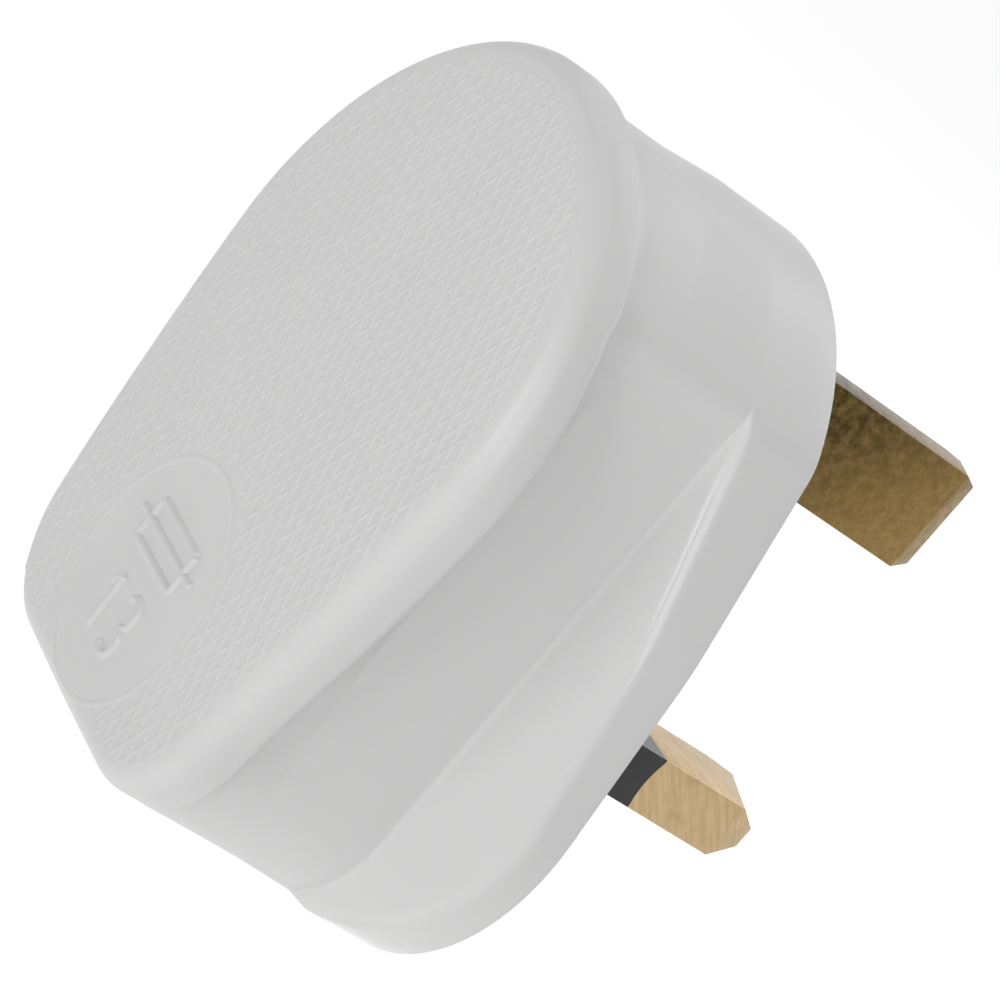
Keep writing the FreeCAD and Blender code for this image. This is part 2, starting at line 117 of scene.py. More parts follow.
class NodePen:
    """Adds shader nodes to one material and joins them.

    Attributes:
        mix_inputs: Numbers of the two colour inputs of a mix node.
        mix_output: Number of its colour output.
    """

    mix_inputs: tuple[int, int] = (6, 7)
    mix_output: int = 2

    def __init__(self, name: str) -> None:
        """Starts a material with a principled shader.

        Args:
            name: Name of the new material.
        """
        self.material = bpy.data.materials.new(name)
        self.material.use_nodes = True
        self.tree = self.material.node_tree
        self.shader = self.tree.nodes["Principled BSDF"]
        self.place = self.add("ShaderNodeTexCoord").outputs["Object"]

    def add(self, kind: str, **settings: object) -> bpy.types.Node:
        """Adds a node.

        Args:
            kind: Blender's type name of the node.
            **settings: Properties to set on it.

        Returns:
            The new node.
        """
        node = self.tree.nodes.new(kind)
        for key, value in settings.items():
            setattr(node, key, value)
        return node

    def join(self, source: bpy.types.NodeSocket, target: bpy.types.NodeSocket) -> None:
        """Links an output to an input."""
        self.tree.links.new(source, target)

    def stretched(self, scale: Colour, turn: float = 0.0) -> bpy.types.NodeSocket:
        """Scales the object's own coordinates.

        Args:
            scale: Factors along X, Y and Z, per metre.
            turn: Angle that they are first turned about X, in degrees.

        Returns:
            The scaled coordinates.
        """
        source = self.place
        if turn:
            rotate = self.add("ShaderNodeVectorRotate", rotation_type="X_AXIS")
            rotate.inputs["Angle"].default_value = math.radians(turn)
            self.join(source, rotate.inputs["Vector"])
            source = rotate.outputs["Vector"]
        mapping = self.add("ShaderNodeMapping")
        mapping.inputs["Scale"].default_value = scale
        self.join(source, mapping.inputs["Vector"])
        return mapping.outputs["Vector"]

    def noise(
        self, scale: Colour, detail: float, rough: float = 0.5, turn: float = 0.0
    ) -> bpy.types.NodeSocket:
        """Adds cloudy noise.

        Args:
            scale: Cells per metre along X, Y and Z.
            detail: Octaves of finer noise.
            rough: Strength of the finer octaves.
            turn: Angle that the noise is turned about X, in degrees.

        Returns:
            The noise value, from 0 to 1.
        """
        node = self.add("ShaderNodeTexNoise")
        node.inputs["Scale"].default_value = 1.0
        node.inputs["Detail"].default_value = detail
        node.inputs["Roughness"].default_value = rough
        self.join(self.stretched(scale, turn), node.inputs["Vector"])
        return node.outputs["Fac"]

    def along(self, axis: Axis) -> bpy.types.NodeSocket:
        """Takes one coordinate of the object's own frame.

        Args:
            axis: The axis that it runs along.

        Returns:
            The coordinate, in metres.
        """
        split = self.add("ShaderNodeSeparateXYZ")
        self.join(self.place, split.inputs["Vector"])
        return split.outputs[axis.value]

    def ramp(self, value: bpy.types.NodeSocket, low: Place, high: Place) -> bpy.types.NodeSocket:
        """Maps a value smoothly from one range to another.

        Args:
            value: What is mapped.
            low: The value at the low end and its result.
            high: The value at the high end and its result.

        Returns:
            The mapped value, which stays at its ends outside the range.
        """
        node = self.add("ShaderNodeMapRange", interpolation_type="SMOOTHSTEP")
        node.inputs["From Min"].default_value = low[0]
        node.inputs["From Max"].default_value = high[0]
        node.inputs["To Min"].default_value = low[1]
        node.inputs["To Max"].default_value = high[1]
        self.join(value, node.inputs["Value"])
        return node.outputs["Result"]

    def blend(self, share: bpy.types.NodeSocket, first: object, second: object) -> bpy.types.NodeSocket:
        """Mixes two colours.

        Args:
            share: Share of the second colour.
            first: A colour or a colour socket.
            second: A colour or a colour socket.

        Returns:
            The mixed colour.
        """
        node = self.add("ShaderNodeMix", data_type="RGBA")
        self.join(share, node.inputs["Factor"])
        for number, colour in zip(self.mix_inputs, (first, second)):
            if isinstance(colour, bpy.types.NodeSocket):
                self.join(colour, node.inputs[number])
            else:
                node.inputs[number].default_value = (*colour, 1.0)
        return node.outputs[self.mix_output]

    def combine(self, first: bpy.types.NodeSocket, second: object, operation: str) -> bpy.types.NodeSocket:
        """Combines two values with a math operation.

        Args:
            first: The first value.
            second: A second value socket or a number.
            operation: Blender's name of the operation.

        Returns:
            The combined value.
        """
        node = self.add("ShaderNodeMath", operation=operation)
        self.join(first, node.inputs[0])
        if isinstance(second, bpy.types.NodeSocket):
            self.join(second, node.inputs[1])
        else:
            node.inputs[1].default_value = second
        return node.outputs[0]

    def bump(self, height: bpy.types.NodeSocket, distance: float, strength: float) -> None:
        """Gives the shader fine relief.

        Args:
            height: Height map from 0 to 1.
            distance: Height of the relief in metres.
            strength: Share of the effect.
        """
        node = self.add("ShaderNodeBump")
        node.inputs["Strength"].default_value = strength
        node.inputs["Distance"].default_value = distance
        self.join(height, node.inputs["Height"])
        self.join(node.outputs["Normal"], self.shader.inputs["Normal"])


@dataclass(frozen=True)
class MouldedWhite:
    """White moulded plastic, satin at the grip head and the skirt's top, glossy on the rest of the skirt."""

    name: str
    colour: Colour = (0.67, 0.67, 0.667)
    shade: Colour = (0.64, 0.637, 0.636)
    satin: float = 0.36
    gloss: float = 0.12
    satin_depth: float = 6.35
    gloss_depth: float = 5.9
    gloss_height: float = 14.0
    satin_height: float = 24.0
    cloud: float = 60.0
    cloud_detail: float = 4.0
    patch: float = 240.0
    patch_detail: float = 3.0
    patch_low: Place = (0.3, 0.92)
    patch_high: Place = (0.7, 1.08)
    grain: float = 5200.0
    grain_detail: float = 2.0
    grain_height: float = 0.012
    grain_strength: float = 0.06
    ior: float = 1.5

    def material(self) -> bpy.types.Material:
        """Makes the material.

        Returns:
            The new material.
        """
        pen = NodePen(self.name)
        cloud = pen.noise((self.cloud,) * 3, self.cloud_detail)
        pen.join(pen.blend(cloud, self.colour, self.shade), pen.shader.inputs["Base Color"])
        front = pen.ramp(pen.along(Axis.Y), (-self.satin_depth * MM, 0.0), (-self.gloss_depth * MM, 1.0))
        below = pen.ramp(pen.along(Axis.Z), (self.gloss_height * MM, 1.0), (self.satin_height * MM, 0.0))
        finish = pen.ramp(pen.combine(front, below, "MULTIPLY"), (0.0, self.satin), (1.0, self.gloss))
        patchy = pen.ramp(pen.noise((self.patch,) * 3, self.patch_detail), self.patch_low, self.patch_high)
        pen.join(pen.combine(finish, patchy, "MULTIPLY"), pen.shader.inputs["Roughness"])
        grain = pen.noise((self.grain,) * 3, self.grain_detail)
        pen.bump(grain, self.grain_height * MM, self.grain_strength)
        pen.shader.inputs["IOR"].default_value = self.ior
        return pen.material


@dataclass(frozen=True)
class Brass:
    """Brass with a brushed lay, fine mottled tarnish and, where set, painted shade: a mottled darker stretch
    near the body that stands for dark reflection and shade.
    """

    name: str
    bright: Colour
    tarnish: Colour
    tarnish_share: Place = (0.35, 0.65)
    painted_shade_colour: Colour = (0.035, 0.026, 0.008)
    painted_shade_share: float = 0.0
    painted_shade_slant: float = 0.8
    painted_shade_span: Place = (-12.0, 7.0)
    painted_shade_cloud: float = 1000.0
    painted_shade_detail: float = 6.0
    painted_shade_rough: float = 0.7
    painted_shade_low: Place = (0.3, 0.5)
    painted_shade_high: Place = (0.65, 1.0)
    roughness: Place = (0.28, 0.42)
    cloud: float = 420.0
    cloud_detail: float = 8.0
    cloud_rough: float = 0.75
    cloud_range: Place = (0.3, 0.7)
    speck: float = 2600.0
    speck_detail: float = 2.0
    speck_range: Place = (0.6, 0.72)
    speck_share: float = 0.0
    brush: Colour = (260.0, 4200.0, 260.0)
    brush_turn: float = 0.0
    brush_detail: float = 3.0
    brush_range: Place = (0.35, 0.7)
    brush_share: float = 0.45
    brush_height: float = 0.012
    brush_strength: float = 0.3

    def material(self) -> bpy.types.Material:
        """Makes the material.

        Returns:
            The new material.
        """
        pen = NodePen(self.name)
        cloud = pen.noise((self.cloud,) * 3, self.cloud_detail, self.cloud_rough)
        share = pen.ramp(cloud, (self.tarnish_share[0], 0.0), (self.tarnish_share[1], 1.0))
        colour = pen.blend(share, self.bright, self.tarnish)
        lay = pen.noise(self.brush, self.brush_detail, turn=self.brush_turn)
        stripe = pen.ramp(lay, (self.brush_range[0], 0.0), (self.brush_range[1], self.brush_share))
        colour = pen.blend(stripe, colour, self.tarnish)
        if self.speck_share:
            dots = pen.noise((self.speck,) * 3, self.speck_detail)
            speck = pen.ramp(dots, (self.speck_range[0], 0.0), (self.speck_range[1], self.speck_share))
            colour = pen.blend(speck, colour, self.bright)
        # Painted shade: a mottled dark colour laid on the pin towards the body, standing for dark reflection
        # and shade.
        if self.painted_shade_share:
            slant = pen.combine(pen.along(Axis.Z), -self.painted_shade_slant, "MULTIPLY")
            span = pen.combine(slant, pen.along(Axis.Y), "ADD")
            low = (self.painted_shade_span[0] * MM, self.painted_shade_share)
            near = pen.ramp(span, low, (self.painted_shade_span[1] * MM, 0.0))
            blot = pen.noise((self.painted_shade_cloud,) * 3, self.painted_shade_detail, self.painted_shade_rough)
            patch = pen.ramp(blot, self.painted_shade_low, self.painted_shade_high)
            colour = pen.blend(pen.combine(near, patch, "MULTIPLY"), colour, self.painted_shade_colour)
        pen.join(colour, pen.shader.inputs["Base Color"])
        low = (self.cloud_range[0], self.roughness[0])
        high = (self.cloud_range[1], self.roughness[1])
        pen.join(pen.ramp(cloud, low, high), pen.shader.inputs["Roughness"])
        pen.shader.inputs["Metallic"].default_value = 1.0
        pen.bump(lay, self.brush_height * MM, self.brush_strength)
        return pen.material


@dataclass(frozen=True)
class PlainFinish:
    """A plain material with cloudy tone, uneven roughness and a fine grain."""

    name: str
    colour: Colour
    shade: Colour
    roughness: Place
    metallic: float = 0.0
    cloud: float = 350.0
    cloud_detail: float = 5.0
    cloud_rough: float = 0.6
    tone_range: Place = (0.3, 0.7)
    rough_range: Place = (0.25, 0.75)
    grain: float = 4000.0
    grain_detail: float = 3.0
    grain_height: float = 0.01
    grain_strength: float = 0.3

    def material(self) -> bpy.types.Material:
        """Makes the material.

        Returns:
            The new material.
        """
        pen = NodePen(self.name)
        cloud = pen.noise((self.cloud,) * 3, self.cloud_detail, self.cloud_rough)
        share = pen.ramp(cloud, (self.tone_range[0], 0.0), (self.tone_range[1], 1.0))
        pen.join(pen.blend(share, self.colour, self.shade), pen.shader.inputs["Base Color"])
        low = (self.rough_range[0], self.roughness[0])
        high = (self.rough_range[1], self.roughness[1])
        pen.join(pen.ramp(cloud, low, high), pen.shader.inputs["Roughness"])
        pen.shader.inputs["Metallic"].default_value = self.metallic
        grain = pen.noise((self.grain,) * 3, self.grain_detail)
        pen.bump(grain, self.grain_height * MM, self.grain_strength)
        return pen.material


class OutlinePen:
    """Draws the right half of an outline in the XZ plane, from its bottom centre to its top centre."""

    step: float = 0.05

    def __init__(self, bottom: float) -> None:
        """Starts at the bottom centre.

        Args:
            bottom: Height of the bottom.
        """
        self.points: list[Place] = [(0.0, bottom)]

    def line(self, x: float, z: float) -> None:
        """Draws a straight stretch to a point.

        Args:
            x: The point's place across.
            z: Its height.
        """
        x0, z0 = self.points[-1]
        count = max(1, math.ceil(math.hypot(x - x0, z - z0) / self.step))
        for k in range(1, count + 1):
            self.points.append((x0 + (x - x0) * k / count, z0 + (z - z0) * k / count))

    def arc(self, centre: Place, radius: float, start: float, end: float) -> None:
        """Draws a straight stretch to a round one, and then the round one.

        Args:
            centre: Centre of the arc.
            radius: Its radius.
            start: Angle of its start from +X towards +Z, in degrees.
            end: Angle of its end.
        """
        self.line(*on_circle(centre, radius, start))
        count = max(1, math.ceil(radius * math.radians(abs(end - start)) / self.step))
        for k in range(1, count + 1):
            self.points.append(on_circle(centre, radius, start + (end - start) * k / count))

    def outline(self) -> "Outline":
        """Closes the outline with its mirror image.

        Returns:
            The whole outline.
        """
        half = np.array(self.points)
        mirror = (half * (-1.0, 1.0))[::-1]
        return Outline(np.concatenate([half, mirror[1:-1]]))


def on_circle(centre: Place, radius: float, angle: float) -> Place:
    """A point of a circle at an angle from +X towards +Z, in degrees."""
    turn = math.radians(angle)
    return (centre[0] + radius * math.cos(turn), centre[1] + radius * math.sin(turn))


@dataclass(frozen=True)
class Outline:
    """A closed outline in the XZ plane, as close-set points."""

    points: np.ndarray

    def reach(self, angles: np.ndarray, hub: float, floor: float | None = None) -> np.ndarray:
        """Distances from the hub to the outline.

        Args:
            angles: Directions from +X towards +Z, in radians.
            hub: Height of the hub on the Z axis.
            floor: Height below which the outline is cut off flat.

        Returns:
            One distance for each angle.
        """
        offset = self.points - (0.0, hub)
        turn = np.arctan2(offset[:, 1], offset[:, 0])
        order = np.argsort(turn)
        far = np.hypot(offset[:, 0], offset[:, 1])
        found = np.interp(angles, turn[order], far[order], period=2 * math.pi)
        if floor is None:
            return found
        down = np.sin(angles)
        flat = np.where(down < 0, (floor - hub) / np.minimum(down, -TINY), np.inf)
        return np.minimum(found, flat)

    def inside(self, places: np.ndarray, hub: float) -> np.ndarray:
        """Tells which points lie inside the outline.

        Args:
            places: Points of the XZ plane, one to a row.
            hub: Height of the hub on the Z axis.

        Returns:
            True for each point inside.
        """
        offset = places - (0.0, hub)
        angles = np.arctan2(offset[:, 1], offset[:, 0])
        return np.hypot(offset[:, 0], offset[:, 1]) < self.reach(angles, hub)

    def gap(self, places: np.ndarray) -> np.ndarray:
        """Shortest distance from each point to the outline."""
        span = places[:, None, :] - self.points[None, :, :]
        return np.sqrt((span**2).sum(axis=2).min(axis=1))


@dataclass(frozen=True)
class PlugForm:
    """Sizes of the moulded body, shared by its pieces."""

    hub: float = 6.0
    body_depth: float = 22.3
    head_thickness: float = 4.35
    head_top_radius: float = 20.95
    head_top_rise: float = 0.3
    head_side_radius: float = 180.0
    head_corner_offset: float = 8.75
    head_corner_radius: float = 8.1
    head_bottom: float = -19.3
    head_neck_inset: float = 2.0
    crown: float = 0.52
    neck_length: float = 2.6
    waist_half_width: float = 16.3
    waist_bottom: float = -19.6
    waist_corner_radius: float = 8.0
    waist_shoulder_radius: float = 3.75
    waist_step: float = 0.1
    waist_draft: float = 0.25
    skirt_top: float = 31.95
    skirt_top_radius: float = 20.65
    skirt_half_width: float = 23.1
    skirt_corner_height: float = -5.65
    skirt_corner_radius: float = 14.0
    skirt_lower_taper: float = 9.1
    skirt_upper_taper: float = 16.2
    skirt_bend_height: float = 9.3
    skirt_bend_radius: float = 25.0
    skirt_shoulder_radius: float = 4.5
    skirt_depth: float = 6.3
    shoulder_slope: float = 0.5
    flat_bottom: float = -18.95
    label_radius: float = 8.6
    label_height: float = -10.0
    pin_spacing: float = 22.2

    @property
    def skirt_top_centre(self) -> float:
        """Height of the centre of the skirt's round top."""
        return self.skirt_top - self.skirt_top_radius

    @property
    def head_top_centre(self) -> float:
        """Height of the centre of the head's round top."""
        return self.skirt_top_centre + self.head_top_rise

    @property
    def waist_top_radius(self) -> float:
        """Radius of the waist's round top, all but flush with the skirt's."""
        return self.skirt_top_radius - self.waist_step

    @property
    def rim_start(self) -> float:
        """Depth of the front edge of the head's rim."""
        return self.body_depth - self.head_thickness

    @property
    def waist_end(self) -> float:
        """Depth of the crease between the waist and the head."""
        return self.rim_start - self.neck_length

    def head(self, inset: float = 0.0) -> Outline:
        """Outline of the grip head: half-round top, gently bowed sides and round lower corners.

        Args:
            inset: How far the outline is drawn in.

        Returns:
            The outline.
        """
        top = (0.0, self.head_top_centre)
        corner = (self.head_corner_offset, self.head_bottom + self.head_corner_radius)
        bow = self.head_side_radius
        side = bow_centre(top, bow - self.head_top_radius, corner, bow - self.head_corner_radius)
        low_end = direction(side, corner)
        high_end = direction(side, top)
        pen = OutlinePen(self.head_bottom + inset)
        pen.arc(corner, self.head_corner_radius - inset, -90, low_end)
        pen.arc(side, bow - inset, low_end, high_end)
        pen.arc(top, self.head_top_radius - inset, high_end, 90)
        return pen.outline()

    def waist(self, inset: float = 0.0) -> Outline:
        """Outline of the waist: straight sides, round lower corners and a round top.

        Args:
            inset: How far the outline is drawn in.

        Returns:
            The outline.
        """
        corner = self.waist_corner_radius
        low = (self.waist_half_width - corner, self.waist_bottom + corner)
        run = self.waist_half_width - self.waist_shoulder_radius
        rise = math.sqrt((self.waist_top_radius - self.waist_shoulder_radius) ** 2 - run**2)
        meet = math.degrees(math.atan2(rise, run))
        pen = OutlinePen(self.waist_bottom + inset)
        pen.arc(low, corner - inset, -90, 0)
        pen.arc((run, self.skirt_top_centre + rise), self.waist_shoulder_radius - inset, 0, meet)
        pen.arc((0.0, self.skirt_top_centre), self.waist_top_radius - inset, meet, 90)
        return pen.outline()

    def skirt(self, inset: float = 0.0) -> Outline:
        """Outline of the skirt: large lower corners, sides in two slopes and a round top.

        Args:
            inset: How far the outline is drawn in.

        Returns:
            The outline.
        """
        low = (self.skirt_half_width - self.skirt_corner_radius, self.skirt_corner_height)
        side = facing(self.skirt_lower_taper)
        slope = facing(self.skirt_upper_taper)
        side_gap = np.dot(side, low) + self.skirt_corner_radius
        bend_x = (side_gap - self.skirt_bend_height * side[1]) / side[0]
        slope_gap = np.dot(slope, (bend_x, self.skirt_bend_height))
        gaps = np.array([side_gap, slope_gap]) - self.skirt_bend_radius
        bend = tuple(np.linalg.solve(np.array([side, slope]), gaps))
        top = (0.0, self.skirt_top_centre)
        reach = self.skirt_top_radius - self.skirt_shoulder_radius
        lean = slope_gap - self.skirt_shoulder_radius - np.dot(slope, top)
        meet = self.skirt_upper_taper + math.degrees(math.acos(lean / reach))
        high = on_circle(top, reach, meet)
        pen = OutlinePen(self.skirt_corner_height - self.skirt_corner_radius + inset)
        pen.arc(low, self.skirt_corner_radius - inset, -90, self.skirt_lower_taper)
        pen.arc(bend, self.skirt_bend_radius - inset, self.skirt_lower_taper, self.skirt_upper_taper)
        pen.arc(high, self.skirt_shoulder_radius - inset, self.skirt_upper_taper, meet)
        pen.arc(top, self.skirt_top_radius - inset, meet, 90)
        return pen.outline()

    def face_depth(self, z: np.ndarray) -> np.ndarray:
        """Depth of the head's gently crowned face behind the pin face at each height."""
        upright = ((z - self.hub) / (self.head_top_centre + self.head_top_radius - self.hub)) ** 2
        return self.body_depth - self.crown * upright


def direction(start: Place, end: Place) -> float:
    """Angle of the way from one point to another, from +X towards +Z, in degrees."""
    return math.degrees(math.atan2(end[1] - start[1], end[0] - start[0]))


def bow_centre(upper: Place, upper_gap: float, lower: Place, lower_gap: float) -> Place:
    """Finds the centre of a bowed side.

    Args:
        upper: Centre of the arc above the side.
        upper_gap: Distance of the bow's centre from it.
        lower: Centre of the arc below the side.
        lower_gap: Distance of the bow's centre from it.

    Returns:
        The bow's centre, on the far side of the part.
    """
    run = lower[0] - upper[0]
    fall = lower[1] - upper[1]
    span = math.hypot(run, fall)
    along = (upper_gap**2 - lower_gap**2 + span**2) / (2 * span)
    aside = math.sqrt(upper_gap**2 - along**2)
    return (upper[0] + (along * run + aside * fall) / span, upper[1] + (along * fall - aside * run) / span)


def facing(angle: float) -> np.ndarray:
    """Unit vector of the XZ plane at an angle from +X towards +Z, in degrees."""
    return np.array(on_circle((0.0, 0.0), 1.0, angle))


@dataclass
class Ring:
    """One ring of control points of a loft.

    Attributes:
        points: One point to a row, in millimetres.
        rounding: Radius that rounds the loft's corner here, one for all points or one for each.
        steps: Number of spans in the rounded corner.
    """

    points: np.ndarray
    rounding: np.ndarray | float = 0.0
    steps: int = 0


def rounded_rows(rings: list[Ring]) -> list[np.ndarray]:
    """Rounds the corners of a loft's rings.

    Args:
        rings: Control rings from the first to the last.

    Returns:
        Rows of points, in order along the loft.
    """
    rows = [rings[0].points]
    for before, ring, after in zip(rings, rings[1:], rings[2:]):
        if not ring.steps:
            rows.append(ring.points)
            continue
        back = before.points - ring.points
        ahead = after.points - ring.points
        back_length = np.maximum(np.linalg.norm(back, axis=1, keepdims=True), TINY)
        ahead_length = np.maximum(np.linalg.norm(ahead, axis=1, keepdims=True), TINY)
        back = back / back_length
        ahead = ahead / ahead_length
        half = np.arccos(np.clip((back * ahead).sum(axis=1, keepdims=True), -1.0, 1.0)) / 2
        trim = np.reshape(ring.rounding, (-1, 1)) / np.maximum(np.tan(half), TINY)
        trim = np.minimum(trim, LARGEST_TRIM * np.minimum(back_length, ahead_length))
        first = ring.points + back * trim
        last = ring.points + ahead * trim
        weight = np.sin(half)
        for k in range(ring.steps + 1):
            s = k / ring.steps
            total = (1 - s) ** 2 + 2 * s * (1 - s) * weight + s**2
            mixed = (1 - s) ** 2 * first + 2 * s * (1 - s) * weight * ring.points + s**2 * last
            rows.append(mixed / total)
    rows.append(rings[-1].points)
    return rows


def filled_rows(rows: list[np.ndarray], longest: float) -> list[np.ndarray]:
    """Puts more rows where two rows are far apart.

    Args:
        rows: Rows of points, in order along the loft.
        longest: Longest step allowed between two rows.

    Returns:
        The rows with the added ones.
    """
    filled = [rows[0]]
    for before, after in zip(rows, rows[1:]):
        gap = np.linalg.norm(after - before, axis=1).max()
        count = max(1, math.ceil(gap / longest))
        filled += [before + (after - before) * k / count for k in range(1, count + 1)]
    return filled


def band_faces(rows: int, count: int) -> Faces:
    """Faces between closed rows of points.

    Args:
        rows: Number of rows.
        count: Number of points in a row.

    Returns:
        Corner numbers of each face.
    """
    faces = []
    for k in range(rows - 1):
        for i in range(count):
            near = k * count + i
            side = k * count + (i + 1) % count
            faces.append((near, side, side + count, near + count))
    return faces


def mesh_piece(name: str, points: np.ndarray, faces: Faces) -> bpy.types.Object:
    """Makes a smooth mesh object from points in millimetres.

    Args:
        name: Name of the object.
        points: One point to a row, in millimetres.
        faces: Corner numbers of each face.

    Returns:
        The new object, linked to the scene.
    """
    mesh = bpy.data.meshes.new(name)
    mesh.from_pydata((np.asarray(points) * MM).tolist(), [], faces)
    mesh.validate()
    mesh.shade_smooth()
    piece = bpy.data.objects.new(name, mesh)
    bpy.context.scene.collection.objects.link(piece)
    return piece


def apply_modifiers(piece: bpy.types.Object) -> None:
    """Puts the shape that a piece's modifiers give into its mesh.

    Args:
        piece: The piece, which loses its modifiers.
    """
    shaped = piece.evaluated_get(bpy.context.evaluated_depsgraph_get())
    done = bpy.data.meshes.new_from_object(shaped)
    piece.modifiers.clear()
    piece.data = done


def seat(piece: bpy.types.Object, material: bpy.types.Material) -> None:
    """Gives a piece its material and its place on the part.

    Args:
        piece: The piece.
        material: Its material.
    """
    piece.data.materials.clear()
    piece.data.materials.append(material)
    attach(piece, ROOT_BODY)
    log.info("%s: %d faces", piece.name, len(piece.data.polygons))


@dataclass
class RearCover:
    """The one-piece cover: grip head, neck, waist, sloping shoulder and skirt, hollow inside."""

    form: PlugForm
    spokes: int = 560
    front_round: float = 0.2
    edge_round: float = 1.3
    junction_round: float = 0.3
    crease_round: float = 0.45
    top_crease_round: float = 1.6
    low_crease_round: float = 3.0
    crease_shift: float = 0.25
    rim_front_round: float = 1.1
    rim_back_round: float = 2.3
    top_crease_rise: float = 3.3
    low_crease_rise: float = 2.0
    top_crease_inset: float = 0.05
    front_bow: float = 0.3
    low_round_share: float = 0.47
    least_edge_height: float = 0.1
    flush_step: float = 0.5
    groove_depth: float = 0.3
    groove_width: float = 1.5
    groove_round: float = 2.5
    groove_fade: Place = (0.7, 0.84)
    pocket_round: float = 0.1
    neck_round: float = 0.3
    face_margin: float = 0.4
    small_steps: int = 2
    front_steps: int = 4
    bend_steps: int = 6
    edge_steps: int = 8
    back_steps: int = 10
    top_focus: int = 6
    low_focus: int = 4
    longest_span: float = 1.6
    sharp_angle: float = 50.0
    skirt_wall: float = 2.6
    back_wall: float = 2.4
    waist_wall: float = 2.1
    base_thickness: float = 2.8
    inlet_wall: float = 2.8
    inlet_radius: float = 4.0
    inlet_depth: float = 7.2
    tongue_margin: float = 1.0
    inlet_segments: int = 96
    tool_walls: int = 3
    face_rings: int = 9
    corner_nudge: float = 0.002
    fine_steps: int = 20000

    def build(self) -> bpy.types.Object:
        """Makes the cover.

        Returns:
            The cover's object.
        """
        rows = filled_rows(rounded_rows(self.rings()), self.longest_span)
        count = len(rows[0])
        first_pole = self.pole(self.form.body_depth - self.back_wall)
        last_pole = self.pole(self.form.body_depth)
        points = np.concatenate(rows + [first_pole, last_pole])
        faces = band_faces(len(rows), count)
        inner = len(rows) * count
        last_row = (len(rows) - 1) * count
        faces += [(inner, (i + 1) % count, i) for i in range(count)]
        faces += [(last_row + i, last_row + (i + 1) % count, inner + 1) for i in range(count)]
        cover = mesh_piece("moulded_cover", points, faces)
        self.cut_inlet(cover)
        cover.data.set_sharp_from_angle(angle=math.radians(self.sharp_angle))
        return cover

    def pole(self, depth: float) -> np.ndarray:
        """The single middle point of an end face."""
        return np.array([[0.0, -depth, self.form.hub]])

    def angles(self) -> np.ndarray:
        """Directions of the spokes, even along the skirt and close-set at the flat's corners.

        Returns:
            Angles from +X towards +Z, in radians, in rising order.
        """
        form = self.form
        fine = np.linspace(-math.pi / 2, 1.5 * math.pi, self.fine_steps, endpoint=False)
        reach = form.skirt().reach(fine, form.hub, form.flat_bottom)
        spots = np.stack([reach * np.cos(fine), reach * np.sin(fine)], axis=1)
        run = np.concatenate([[0.0], np.cumsum(np.linalg.norm(np.diff(spots, axis=0), axis=1))])
        even = np.interp(np.linspace(0.0, run[-1], self.spokes, endpoint=False), run, fine)
        extra = []
        for outline in (form.skirt(), form.waist()):
            corner = self.flat_corner(outline)
            for side in (corner, math.pi - corner):
                extra += [side - self.corner_nudge, side, side + self.corner_nudge]
        return np.unique(np.concatenate([even, extra]))

    def flat_corner(self, outline: Outline) -> float:
        """Direction of the corner where an outline meets the flat bottom, on the right side.

        Args:
            outline: An outline that the flat bottom cuts.

        Returns:
            The angle from +X towards +Z, in radians.
        """
        form = self.form
        right = outline.points[(outline.points[:, 0] > 0) & (outline.points[:, 1] < form.hub)]
        nearest = right[np.argmin(np.abs(right[:, 1] - form.flat_bottom))]
        return math.atan2(nearest[1] - form.hub, nearest[0])

    def ring(
        self,
        reach: np.ndarray,
        depth: np.ndarray | float,
        rounding: np.ndarray | float = 0.0,
        steps: int = 0,
    ) -> Ring:
        """Makes a control ring.

        Args:
            reach: Distance from the hub along each spoke.
            depth: Depth behind the pin face, one for all or one for each spoke.
            rounding: Corner radius at the ring, one for all or one for each spoke.
            steps: Spans in the rounded corner.

        Returns:
            The ring.
        """
        turn = self.angles()
        depth = np.broadcast_to(depth, reach.shape)
        spots = np.stack([reach * np.cos(turn), -depth, self.form.hub + reach * np.sin(turn)], axis=1)
        return Ring(spots, rounding, steps)

    def rings(self) -> list[Ring]:
        """Control rings from the hollow's back, round the front edge, to the middle of the head's face.

        Returns:
            The rings in order along the loft.
        """
        form = self.form
        turn = self.angles()
        flat = form.flat_bottom
        cavity_inset = self.waist_wall + form.waist_draft
        cavity = form.waist(cavity_inset).reach(turn, form.hub, flat + self.inlet_wall)
        pocket = form.skirt(self.skirt_wall).reach(turn, form.hub)
        skirt = form.skirt().reach(turn, form.hub, flat)
        waist = form.waist().reach(turn, form.hub, flat)
        edge = self.ring(skirt, 0.0).points[:, [0, 2]]
        rise = np.where(skirt > waist, form.waist().gap(edge), 0.0) * form.shoulder_slope
        edge_depth = form.skirt_depth - np.maximum(rise, self.least_edge_height)
        ledge = skirt - waist
        waist = skirt - ledge * (1 - np.exp(-((ledge / self.flush_step) ** 2)))
        top = np.clip(np.sin(turn), 0.0, 1.0) ** self.top_focus
        low = self.lowness(turn)
        crease_inset = form.waist_draft + self.top_crease_inset * top
        wall = np.minimum(form.waist().reach(turn, form.hub) - crease_inset * (1 - low), waist)
        rise_forward = self.top_crease_rise * top + self.low_crease_rise * low
        crease_depth = form.waist_end + self.crease_shift - rise_forward
        fade = (np.abs(np.sin(turn)) - self.groove_fade[0]) / (self.groove_fade[1] - self.groove_fade[0])
        crease = wall - self.groove_depth * (1 - np.clip(fade, 0.0, 1.0)) ** 2
        crease_round = self.crease_round + self.top_crease_round * top + self.low_crease_round * low
        neck = np.maximum(form.head(form.head_neck_inset).reach(turn, form.hub, flat), wall)
        rim = form.head().reach(turn, form.hub)
        ends = (rim * np.sin(turn) / form.head_top_radius) ** 2
        rim_front = form.rim_start + self.front_bow * ends
        rim_back = form.face_depth(form.hub + rim * np.sin(turn))
